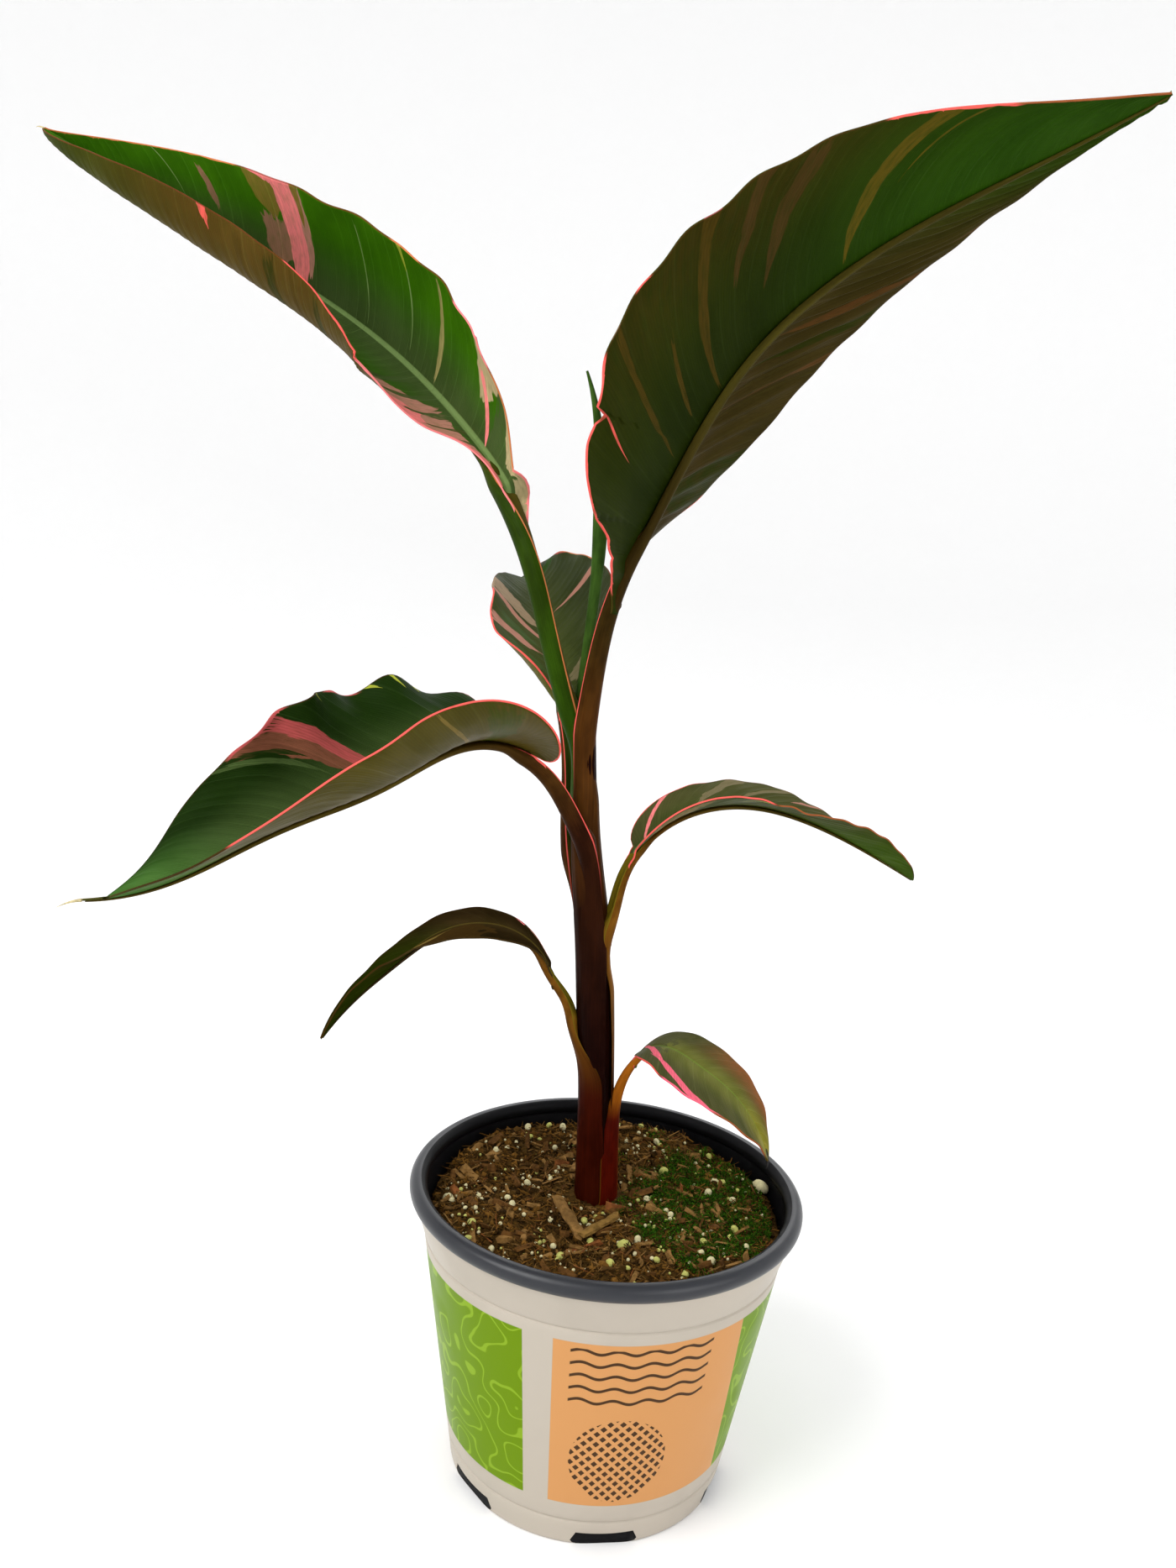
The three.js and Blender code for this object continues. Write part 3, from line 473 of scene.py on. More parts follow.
class Parts:
    """Gathers points, faces, material numbers and maps that become one piece."""

    def __init__(self, *map_names):
        self.points, self.faces, self.numbers = [], [], []
        self.maps = {name: [] for name in map_names}

    def add(self, points, faces, numbers=0, **maps):
        points = np.reshape(points, (-1, 3))
        start = sum(map(len, self.points))
        self.faces.extend([corner + start for corner in face] for face in faces)
        self.numbers.extend(np.broadcast_to(numbers, len(faces)).tolist())
        for name, pairs in self.maps.items():
            pairs.append(np.reshape(maps.get(name, np.zeros((len(points), 2))), (-1, 2)))
        self.points.append(points)

    def piece(self, name, materials, smooth_shading=True):
        maps = {map_name: np.vstack(pairs) for map_name, pairs in self.maps.items()}
        points = np.vstack(self.points)
        return add_piece(name, points, self.faces, materials, self.numbers, maps, smooth_shading)


def around(count):
    """Angles at even places of a full turn."""
    return np.linspace(0, TURN, count + 1)[:-1]


def circle(radius, angles, height):
    """Points of one level ring."""
    return np.stack([radius * np.cos(angles), radius * np.sin(angles), height + 0 * angles], -1)


def grid_faces(rows, columns):
    """Quads of rows of points, with each row's last point joined to its first."""
    r, c = np.meshgrid(np.arange(rows - 1), np.arange(columns), indexing="ij")
    after = (c + 1) % columns
    corners = (r * columns + c, r * columns + after, (r + 1) * columns + after, (r + 1) * columns + c)
    return np.stack(corners, -1).reshape(-1, 4)


def fan_faces(start, columns, centre, flip):
    """Triangles from a ring of points to its centre."""
    here = start + np.arange(columns)
    after = start + (np.arange(columns) + 1) % columns
    order = (after, here) if flip else (here, after)
    return np.stack([np.full(columns, centre), *order], -1)


def grid_normals(grid):
    """Unit normals of a grid of points, from its rows and columns."""
    normal = np.cross(np.gradient(grid, axis=0), np.gradient(grid, axis=1))
    return normal / np.maximum(np.linalg.norm(normal, axis=-1, keepdims=True), 1e-9)


def add_tube(parts, rings, number=0, **maps):
    """A closed tube through rings of points, with a fan at each end."""
    count, columns = rings.shape[:2]

    def capped(grid):
        return np.vstack([grid.reshape(-1, grid.shape[-1]), grid[0].mean(0), grid[-1].mean(0)])

    faces = grid_faces(count, columns).tolist()
    faces += fan_faces(0, columns, count * columns, True).tolist()
    faces += fan_faces((count - 1) * columns, columns, count * columns + 1, False).tolist()
    parts.add(capped(rings), faces, number, **{name: capped(pairs) for name, pairs in maps.items()})


# The rule of the leaves


def smooth(values, t, places=None):
    """A smooth curve through values that stand at even places, or at the given ones."""
    v = np.asarray(values, float)
    at = np.linspace(0, 1, len(v)) if places is None else np.asarray(places, float)
    low = np.maximum(np.arange(len(v)) - 1, 0)
    high = np.minimum(np.arange(len(v)) + 1, len(v) - 1)
    slope = (v[high] - v[low]) / (at[high] - at[low])
    t = np.asarray(t, float)
    i = np.clip(np.searchsorted(at, t, side="right") - 1, 0, len(v) - 2)
    span = at[i + 1] - at[i]
    u = (t - at[i]) / span
    return (
        (2 * u**3 - 3 * u**2 + 1) * v[i] + (u**3 - 2 * u**2 + u) * span * slope[i]
        + (3 * u**2 - 2 * u**3) * v[i + 1] + (u**3 - u**2) * span * slope[i + 1]
    )


def ease(value, low, high):
    """0 below low, 1 above high and a smooth step between them."""
    u = np.clip((np.asarray(value, float) - low) / (high - low), 0, 1)
    return u * u * (3 - 2 * u)


def axes_at(rise, heading):
    """Direction, sideways and upward axes of a stalk that climbs at rise and points to heading."""
    p, h = np.radians(rise), np.radians(heading)
    along = np.stack([np.cos(p) * np.cos(h), np.cos(p) * np.sin(h), np.sin(p)], -1)
    side = np.stack([-np.sin(h), np.cos(h), 0 * h], -1)
    upper = np.stack([-np.sin(p) * np.cos(h), -np.sin(p) * np.sin(h), np.cos(p)], -1)
    return along, side, upper


def walk(root, length, rise, heading, count=400):
    """Points of a stalk's line, walked in small steps from its root."""
    t = (np.arange(count) + 0.5) / count
    along = axes_at(smooth(rise, t), smooth(heading, t))[0]
    return np.vstack([root, root + np.cumsum(along * length / count, 0)])


def on_line(line, t):
    where = np.linspace(0, 1, len(line))
    return np.stack([np.interp(t, where, line[:, k]) for k in range(3)], -1)


def leaf_course(leaf, t):
    """Points and axes of a leaf's line: t is -1 at the root, 0 where the blade begins and 1 at its tip."""
    t = np.asarray(t, float)
    petiole_rise, petiole_heading = leaf["rise"][:3], leaf["heading"][:2]
    blade_rise, blade_heading = leaf["rise"][2:], leaf["heading"][1:]
    petiole = walk(np.array(leaf["root"], float), leaf["petiole"][0], petiole_rise, petiole_heading)
    blade = walk(petiole[-1], leaf["length"], blade_rise, blade_heading)
    low, high = np.clip(t + 1, 0, 1), np.clip(t, 0, 1)
    on_petiole = t < 0
    rise = np.where(on_petiole, smooth(petiole_rise, low), smooth(blade_rise, high))
    heading = np.where(on_petiole, smooth(petiole_heading, low), smooth(blade_heading, high))
    point = np.where(on_petiole[..., None], on_line(petiole, low), on_line(blade, high))
    along, side, upper = axes_at(rise, heading)
    turn = leaf["twist"][-1] - leaf["roll"][0]
    opening = smooth(leaf["roll"], high) + turn * (1 - ease(high, 0, 0.16))
    turn = np.radians(np.where(on_petiole, smooth(leaf["twist"], low), opening))[..., None]
    turned_side = side * np.cos(turn) + upper * np.sin(turn)
    return point, along, turned_side, upper * np.cos(turn) - side * np.sin(turn)


def blade_half(leaf, name, t):
    """Half width, fold beside the midrib and fold at the edge of one half of a blade. The half width
    goes from the petiole's own width to the slim tip."""
    width, full, slim, first, folds = leaf[name]
    neck = leaf["petiole"][2]
    widest = full / (full + slim)
    share = np.clip(t / leaf.get("end", 1), 0, 1)
    leafy = width * (share / widest) ** full * ((1 - share) / (1 - widest)) ** slim
    if name + "_lobe" in leaf:
        place, spread, depth = leaf[name + "_lobe"]
        leafy = leafy + depth * np.exp(-(((share - place) / spread) ** 2)) * np.minimum(1, 25 * share)
    if "taper" in leaf:
        leafy = leafy * (1 - np.exp(-share / leaf["taper"]))
    width = np.hypot(leafy, neck + (TIP_HALF_WIDTH - neck) * share)
    inside = np.clip(t, 0, 1)
    edge = smooth(folds, inside)
    if name + "_base" in leaf:
        reach, widths, folds = leaf[name + "_base"]
        share = np.clip(t / reach, 0, 1)
        width = np.where(t < reach, smooth(widths, share), width)
        edge = np.where(t < reach, smooth(folds, share), edge)
    if leaf.get("notch", ("",))[0] == name:
        _, place, spread, depth = leaf["notch"]
        width = width - depth * ease(inside, place - spread, place - 0.004) * (inside < place)
    if name == "right":
        _, bump, centre, spread = leaf["flange"]
        width = width + bump * np.exp(-(((t * leaf["length"] - centre) / spread) ** 2))
    return width, first, edge


def blade_surface(leaf, t, w):
    """Points of a blade's face, t along and w across, and the half width there.
    Below t = 0 the blade runs down the edges of the petiole's channel as a narrow flange."""
    petiole_length, _, neck, _ = leaf["petiole"]
    below = np.clip(-t, 0, 1) * leaf["length"]
    share_down = below / leaf["flange"][0]
    point, _, side, upper = leaf_course(leaf, np.where(t < 0, -below / petiole_length, t))
    result = np.zeros(t.shape + (3,))
    widths = np.zeros(t.shape)
    u = np.abs(w)
    sunk = (0.45 * neck * (1 - u * u) * ease(share_down, 0, 0.3) + 2.2 * ease(share_down, 0.5, 1))
    for sign, name in ((1, "left"), (-1, "right")):
        width, first, edge = blade_half(leaf, name, t)
        width = width * (1 - 0.12 * ease(share_down, 0.2, 1))
        first = math.radians(first) * (1 - ease(share_down, 0, 0.3))
        turn = (np.radians(edge * (1 - 0.8 * ease(share_down, 0, 0.3))) - first) * u
        reach = u * width * np.sinc(turn / 2 / np.pi)
        angle = first + turn / 2
        here = point + side * (sign * reach * np.cos(angle))[..., None]
        here = here + upper * (reach * np.sin(angle) - sunk)[..., None]
        chosen = w * sign >= 0
        result = np.where(chosen[..., None], here, result)
        widths = np.where(chosen, width, widths)
    return result, widths


def add_blade(parts, leaf, settings, rng):
    """A blade as a thin closed shell. Its rows follow the side veins, which stand up from it."""
    length, sweep = leaf["length"], leaf["sweep"]
    spacing = settings.vein_spacing / MM
    thickness = settings.thickness / MM
    flange_rows = np.linspace(-leaf["flange"][0] / length, 0, 23)[:-1]
    p = np.concatenate([flange_rows, np.linspace(0, 1, int(length / spacing * settings.rows_per_vein))])
    u = np.linspace(0, 1, leaf["columns"]) ** 0.92
    pp, ww = np.meshgrid(p, np.concatenate([-u[::-1], u[1:]]), indexing="ij")
    inside, out = np.clip(pp, 0, 1), np.abs(ww)
    t = pp + 4 * sweep * inside * (1 - inside) * out ** 1.3
    surface, widths = blade_surface(leaf, t, ww)

    gaps = spacing * rng.uniform(0.72, 1.3, int(2 * length / spacing))
    veins = np.concatenate([[-30.0, 0.0], np.cumsum(gaps)])
    phase = np.interp(pp * length, veins, np.arange(len(veins)))
    strength = rng.uniform(0.45, 1.25, len(veins) + 1)
    strong = np.interp(phase, np.arange(len(strength)), strength)
    near_rib = ease(out * widths, 1.5, 6)
    relief = np.where(ww < 0, *leaf["relief"])
    height = relief * np.cos(TURN * phase) * strong * near_rib * (1 - 0.95 * ease(out, 0.7, 1))

    waves = np.zeros_like(pp)
    for sign, name in ((-1, "right"), (1, "left")):
        amount, pitch, start, end, *shift = leaf["ripple"][name]
        run = t * length + sum(shift)
        wave = np.zeros_like(pp)
        for k in range(4):
            turn = rng.uniform(0, TURN)
            wave += np.sin(TURN * run / (pitch * (0.7 + 0.3 * k)) + turn) / (1 + 0.5 * k)
        fade = ease(t, start - 0.06, start + 0.06) * (1 - ease(t, end - 0.08, end + 0.08))
        waves += np.where(ww * sign > 0, amount * wave * fade, 0)
    height = height + waves * out ** 2.6
    if "ridges" in leaf:
        sign, amount, pitch = leaf["ridges"]
        ridge = np.sin(TURN * pp * length / pitch + 1.6 * np.sin(11 * pp))
        height = height + amount * ridge * (ww * sign > 0) * ease(out, 0.08, 0.4) * (1 - ease(out, 0.6, 1))
    if "tear" in leaf:
        place, start, depth = leaf["tear"]
        torn = ease(out, abs(start), 1) * (ww * start > 0)
        fold = 1 - ease(pp, place - 0.0012, place + 0.0012)
        height = height + depth * torn * fold * ease(pp, place - 0.09, place)

    normal = grid_normals(surface)
    rib = (leaf["petiole"][2] * 0.55 + 0.3) * (1 - inside)
    groove = np.clip(1 - (out * widths / np.maximum(rib, 0.2)) ** 2, 0, 1) * 0.35 * (1 - inside)
    middle = surface + normal * height[..., None]
    upper = middle + normal * (thickness / 2 - groove)[..., None]
    lower = middle - normal * (thickness / 2)

    def both(face, back):
        return np.concatenate([face, back[:, ::-1]], axis=1)

    maps = {
        "LeafMap": np.stack([pp, ww], -1),
        "VeinMap": np.stack([phase, ww * widths], -1),
        "EdgeMap": np.stack([(1 - out) * widths, t * length], -1),
    }
    count, wide = pp.shape
    ring = 2 * wide
    column = np.tile(np.arange(ring), count - 1)
    numbers = np.where((column < wide) | (column == ring - 1), 0, 1).tolist() + [0] * (ring - 2)
    c = np.arange(wide - 1)
    first = np.stack([ring - 2 - c, ring - 1 - c, c, c + 1], -1)
    last = np.stack([ring - 1 - c, ring - 2 - c, c + 1, c], -1) + (count - 1) * ring
    faces = np.vstack([grid_faces(count, ring)[:, ::-1], first, last]).tolist()
    parts.add(both(upper, lower), faces, numbers, **{name: both(pair, pair) for name, pair in maps.items()})


def add_tip_thread(parts, leaf, thread, number):
    """The dried thread that ends a tip, curling down as it goes."""
    length, radius, curl = thread
    point, along, side, upper = leaf_course(leaf, np.array([1.0]))
    steps = np.linspace(0, 1, 9)
    angle = np.radians(curl) * steps
    direction = along * np.cos(angle)[:, None] - upper * np.sin(angle)[:, None]
    centre = point - along * 0.8 + np.cumsum(direction, 0) * length / len(steps)
    turns = around(6)
    thick = radius * (1 - 0.85 * steps)
    rings = np.stack([
        c + side[0] * (r * np.cos(turns))[:, None] + upper[0] * (r * np.sin(turns))[:, None]
        for c, r in zip(centre, thick)
    ])
    add_tube(parts, rings, number)


# The stem, its sheaths and the stalks


def stem_station(z):
    """Centre and radii of the stem at a height."""
    stations = np.array(STEM_STATIONS, float)
    low, high = stations[0, 0], stations[-1, 0]
    places = (stations[:, 0] - low) / (high - low)
    t = np.clip((np.asarray(z, float) - low) / (high - low), 0, 1)
    return [smooth(stations[:, k], t, places) for k in range(1, 5)]


def stalk_map(shares, along):
    """A map of the share round a stalk and the place along it."""
    return np.stack(np.broadcast_arrays(shares, along), -1)


def add_stem_core(parts):
    z = np.linspace(STEM_STATIONS[0][0] - STEM_BELOW_SOIL, STEM_STATIONS[-1][0], 120)
    zz, aa = np.meshgrid(z, around(72), indexing="ij")
    x, y, across, along = stem_station(zz)
    wrinkle = 0.12 * np.sin(9 * aa + 0.02 * zz) + 0.08 * np.sin(17 * aa - 0.05 * zz)
    rings = np.stack([
        x + (across - CORE_INSET + wrinkle) * np.cos(aa), y + (along - CORE_INSET + wrinkle) * np.sin(aa), zz,
    ], -1)
    add_tube(parts, rings, StalkMap=stalk_map(aa / TURN, (zz - z[0]) / 100))


# A stalk's ring of points: how many lie on its outer side and how many in its channel, and the
# angle in radians from the middle of the channel to each lip
STALK_OUTER = 40
STALK_INNER = 20
STALK_LIP = 0.95


def sheath_ring(sheath, high, z):
    """Closed rings of a sheath at heights z: its outer side from edge to edge, then its inner side."""
    z = z[:, None]
    q = np.clip((z - sheath["low"]) / (high - sheath["low"]), 0, 1)
    begin, end = smooth(sheath["from"], q), smooth(sheath["to"], q)
    s = np.concatenate([np.linspace(0, 1, STALK_OUTER), np.linspace(1, 0, STALK_INNER + 2)[1:-1]])
    inner_side = np.arange(len(s)) >= STALK_OUTER
    span = end - begin
    angle = np.radians(begin + span * s)
    x, y, across, along = stem_station(z)
    lip = 1 - ease(np.minimum(s, 1 - s) * span, 0, 10)
    wrinkle = 0.06 * np.sin(13 * angle + 0.03 * z)
    swell = sheath.get("swell", 0) * np.sin(np.pi * s) ** 0.8
    off = sheath["level"] * 0.42 - 0.15 + 0.15 * lip + wrinkle + swell - 0.55 * inner_side
    ring = (x + (across + off) * np.cos(angle), y + (along + off) * np.sin(angle), z)
    return np.stack(np.broadcast_arrays(*ring), -1)


def stalk_section(leaf, t):
    """Half width, depth below and height above its centre, channel depth and drop of a stalk."""
    _, base, neck, sink = leaf["petiole"]
    up = np.clip(t + 1, 0, 1)
    out = np.clip(t, 0, 1)
    rib = neck * 0.9 * (1 - out) ** 0.8
    blend = ease(out, 0, 0.07)
    radius = (base + (neck - base) * up**0.8) * (1 - blend)
    half = radius + (0.78 * rib + 0.3) * blend
    below = radius + (0.8 * rib + 0.25) * blend
    above = radius + (0.3 * rib + 0.05) * blend
    drop = sink * up * radius + (0.3 * rib + 0.35) * blend
    channel = 0.68 * ease(up, 0.0, 0.3) * (1 - ease(out, 0, 0.04))
    return [measure[:, None] for measure in (half, below, above, channel, drop)]


def add_stalk(parts, leaf, sheath):
    """A sheath that narrows into its petiole, which has a channel and runs on as the midrib."""
    length = leaf["petiole"][0]
    root_height = float(leaf["root"][2])
    depth_low = root_height - sheath["low"]
    down = np.linspace(depth_low, 0, max(24, int(depth_low / 1.4)))[:-1]
    t = np.concatenate([np.full(len(down), -1.0), np.linspace(-1, 0, 80), np.linspace(0, 0.995, 150)[1:]])
    depth = np.concatenate([down, -np.linspace(0, length, 80), np.full(149, -length)])
    point, along, side, upper = leaf_course(leaf, t)
    point = point - along * np.maximum(depth, 0)[:, None]
    half, below, above, channel, drop = stalk_section(leaf, t)
    outer = -STALK_LIP - (TURN - 2 * STALK_LIP) * np.linspace(0, 1, STALK_OUTER)
    inner = STALK_LIP - 2 * STALK_LIP * np.linspace(0, 1, STALK_INNER + 2)[1:-1]
    a = np.concatenate([outer, inner])
    near = np.angle(np.exp(1j * a))
    dent = 1 - channel * np.exp(-((near / 0.66) ** 2))
    dent = dent + 0.12 * channel * np.exp(-(((np.abs(near) - STALK_LIP) / 0.2) ** 2))
    sideways = half * np.sin(a)
    upwards = np.where(np.cos(a) > 0, above, below) * np.cos(a) * dent - drop
    rings = point[:, None, :] + side[:, None, :] * sideways[..., None]
    rings = rings + upper[:, None, :] * upwards[..., None]
    wrapped = ease(depth, *leaf["merge"])[:, None, None]
    z = np.where(depth > 0, root_height - depth, np.minimum(point[:, 2], root_height + 60))
    rings = rings * (1 - wrapped) + sheath_ring(sheath, root_height, z) * wrapped
    place = np.where(depth > 0, -1 - depth / 100, t)[:, None]
    add_tube(parts, rings, StalkMap=stalk_map(near / TURN, place))


def add_spear(parts):
    """The rolled leaf: a tube that winds a little more than once round itself, with a free edge."""
    t = np.linspace(0, 1, 110)
    line = walk(np.array(SPEAR["root"], float), SPEAR["length"], SPEAR["rise"], SPEAR["heading"])
    along, side, upper = axes_at(smooth(SPEAR["rise"], t), np.zeros_like(t))
    turns = around(60)
    share = turns / TURN
    r = smooth(SPEAR["radii"], t)[:, None] * (0.84 + 0.16 * share)
    angle = turns + (2.4 * t[:, None] + 4.1)
    rings = on_line(line, t)[:, None, :] + side[:, None, :] * (r * np.cos(angle))[..., None]
    rings = rings + upper[:, None, :] * (r * np.sin(angle))[..., None]
    add_tube(parts, rings, StalkMap=stalk_map(share - 0.5, t[:, None]))


# Shaders


class Value:
    """One output in a shader tree. Arithmetic on it lays the node that works it out."""

    def __init__(self, web, socket):
        self.web = web
        self.socket = socket

    def __abs__(self):
        return self.web.math("ABSOLUTE", self)


def add_arithmetic(sign, operation):
    """Gives Value one sign of arithmetic, with a number or another Value on either side."""
    setattr(Value, f"__{sign}__", lambda self, other: self.web.math(operation, self, other))
    setattr(Value, f"__r{sign}__", lambda self, other: self.web.math(operation, other, self))


for sign, operation in (("add", "ADD"), ("sub", "SUBTRACT"), ("mul", "MULTIPLY"), ("truediv", "DIVIDE")):
    add_arithmetic(sign, operation)


class Web:
    """Lays the nodes of one shader tree and joins them."""

    def __init__(self, tree):
        self.tree = tree

    def feed(self, socket, value):
        if isinstance(value, Value):
            self.tree.links.new(value.socket, socket)
        elif socket.type == "RGBA" and len(value) == 3:
            socket.default_value = (*value, 1)
        else:
            socket.default_value = value

    def node(self, kind, inputs=None, **settings):
        made = self.tree.nodes.new(kind)
        place = len(self.tree.nodes)
        made.location = (220 * (place % 10), -280 * (place // 10))
        for name, value in settings.items():
            setattr(made, name, value)
        for name, value in (inputs or {}).items():
            self.feed(made.inputs[name], value)
        return made

    def value(self, kind, inputs=None, output=0, **settings):
        """One output of a new node."""
        return Value(self, self.node(kind, inputs, **settings).outputs[output])

    def math(self, operation, *values):
        return self.value("ShaderNodeMath", dict(enumerate(values)), operation=operation)

    def step(self, value, low, high, start=0.0, end=1.0):
        """start below low and end above high, with a smooth step between them."""
        inputs = {"Value": value, "From Min": low, "From Max": high, "To Min": start, "To Max": end}
        return self.value("ShaderNodeMapRange", inputs, interpolation_type="SMOOTHSTEP")

    def fall(self, value, low, high):
        """1 below low and 0 above high."""
        return self.step(value, low, high, 1.0, 0.0)

    def mix(self, factor, first, second, blend_type="MIX"):
        inputs = {0: factor, 6: first, 7: second}
        return self.value("ShaderNodeMix", inputs, 2, data_type="RGBA", blend_type=blend_type)

    def tint(self, colour, *factors):
        return self.mix(1.0, colour, factors, "MULTIPLY")

    def noise(self, vector, scale=1.0, detail=2.0, roughness=0.5):
        inputs = {"Vector": vector, "Scale": scale, "Detail": detail, "Roughness": roughness}
        return self.value("ShaderNodeTexNoise", inputs)

    def flat_noise(self, x, y, detail=2.0, scale=1.0):
        """Noise over two numbers."""
        return self.noise(self.value("ShaderNodeCombineXYZ", {"X": x, "Y": y, "Z": 0.0}), scale, detail)

    def map(self, name):
        """The two numbers of one of the piece's own maps."""
        split = self.node("ShaderNodeSeparateXYZ", {"Vector": self.value("ShaderNodeUVMap", uv_map=name)})
        return Value(self, split.outputs["X"]), Value(self, split.outputs["Y"])

    def place(self):
        return self.value("ShaderNodeTexCoord", None, "Object")

    def group(self, tree, *values):
        """The outputs of a node group, from values for its inputs in turn."""
        made = self.node("ShaderNodeGroup", dict(enumerate(values)), node_tree=tree)
        return [Value(self, socket) for socket in made.outputs]


def shader_group(name, inputs, outputs, lay):
    """A node group with named float sockets, built once. lay(web, *inputs) gives its outputs."""
    if name in bpy.data.node_groups:
        return bpy.data.node_groups[name]
    tree = bpy.data.node_groups.new(name, "ShaderNodeTree")
    for label, value in inputs.items():
        socket = tree.interface.new_socket(name=label, in_out="INPUT", socket_type="NodeSocketFloat")
        socket.default_value = value
    for label in outputs:
        tree.interface.new_socket(name=label, in_out="OUTPUT", socket_type="NodeSocketFloat")
    web = Web(tree)
    entry = web.node("NodeGroupInput")
    leave = web.node("NodeGroupOutput")
    results = lay(web, *[Value(web, entry.outputs[label]) for label in inputs])
    for label, value in zip(outputs, results):
        web.feed(leave.inputs[label], value)
    return tree


def streak_group():
    """A streak that follows the veins: its long edges are clean and its ends are ragged."""
    inputs = {
        "Along": 0, "Across": 0, "Start Along": 0.5, "Start Across": -1, "End Along": 0.5, "End Across": 0,
        "Start Width": 0.01, "End Width": 0.01, "Ragged": 0.3,
    }

    def lay(web, along, across, start, start_across, end, end_across, start_width, end_width, ragged):
        span = end_across - start_across
        share = (across - start_across) / span
        inside = web.math("MAXIMUM", web.math("MINIMUM", share, 1), 0)
        centre = start + (end - start) * inside
        half = (start_width + (end_width - start_width) * inside) * web.step(share, 0.6, 1.05, 1.0, 0.2)
        slow = web.flat_noise(along * 40, across * 5)
        quick = web.flat_noise(along * 260, across * 2.5, 3.0)
        off = abs(along - centre) + (slow - 0.5) * (half * ragged) * 3
        body = web.fall(off, half * 0.88, half)
        torn = share + (quick - 0.5) * (ragged * 1.5)
        return [body * (web.step(torn, 0.0, 0.03) * web.fall(torn, 0.97, 1.0))]

    return shader_group("Variegation streak", inputs, ["Mask"], lay)


def vein_group():
    """Side veins: a thin pale line on some, fine lines between them, and their height."""

    def lay(web, phase, across, width):
        number = web.math("ROUND", phase)
        own = web.flat_noise(number * 7.31, across * 0.025)
        line = web.fall(abs(phase - number), 0.0, width) * web.step(own, 0.36, 0.66, 0.12, 1.0)
        drift = web.flat_noise(phase * 1.1, across * 0.03)
        fine = web.math("SINE", phase * (TURN * 6) + drift * 5.0)
        fine = web.math("MULTIPLY_ADD", fine, 0.5, 0.5)
        return [line, fine, line + fine * 0.3]

    inputs = {"Phase": 0, "Across": 0, "Width": 0.1}
    return shader_group("Side veins", inputs, ["Line", "Fine", "Height"], lay)


def edge_group():
    """A stretch of an edge band, with short points that run in along the veins."""
    inputs = {"Distance": 0, "Along": 0, "Start": 0, "End": 1, "Width": 1}

    def lay(web, distance, along, start, end, width):
        uneven = web.flat_noise(along * 0.13, 0.0)
        points = web.flat_noise(along * 0.9, 4.0)
        width = width * (web.step(uneven, 0.3, 0.72, 0.3, 1.0) + web.step(points, 0.6, 0.72, 0.0, 0.7))
        band = web.fall(distance, width * 0.75, width)
        return [band * (web.step(along, start - 1.5, start + 1.5) * web.fall(along, end - 3.0, end))]

    return shader_group("Edge band", inputs, ["Mask"], lay)


def mottle_group():
    """Soft patches drawn out along the veins, with finer flecks in them."""

    def lay(web, along, across):
        soft = web.flat_noise(along * 14, across * 1.6, 4.0)
        return [web.step(soft, 0.3, 0.7), web.flat_noise(along * 150, across * 9)]

    return shader_group("Leaf mottle", {"Along": 0, "Across": 0}, ["Patches", "Flecks"], lay)


def tinted(shade, *factors):
    """A colour with its red, green and blue multiplied, each by its own factor or all by one."""
    return tuple(np.array(shade) * factors)


def new_material(name):
    material = bpy.data.materials.new(name)
    material.use_nodes = True
    material.node_tree.nodes.clear()
    return material, Web(material.node_tree)


def close_material(web, colour, roughness, height=None, distance=0.0003, shine=0.5):
    """Ends a material in its Principled shader."""
    shader = web.node("ShaderNodeBsdfPrincipled", {"Base Color": colour, "Roughness": roughness})
    shader.inputs["Specular IOR Level"].default_value = shine
    if height is not None:
        bump = web.value("ShaderNodeBump", {"Height": height, "Distance": distance, "Strength": 0.6})
        web.feed(shader.inputs["Normal"], bump)
    output = web.node("ShaderNodeOutputMaterial")
    web.tree.links.new(shader.outputs[0], output.inputs["Surface"])


# The neck that the midrib's width was set for
FULL_NECK = 4.6


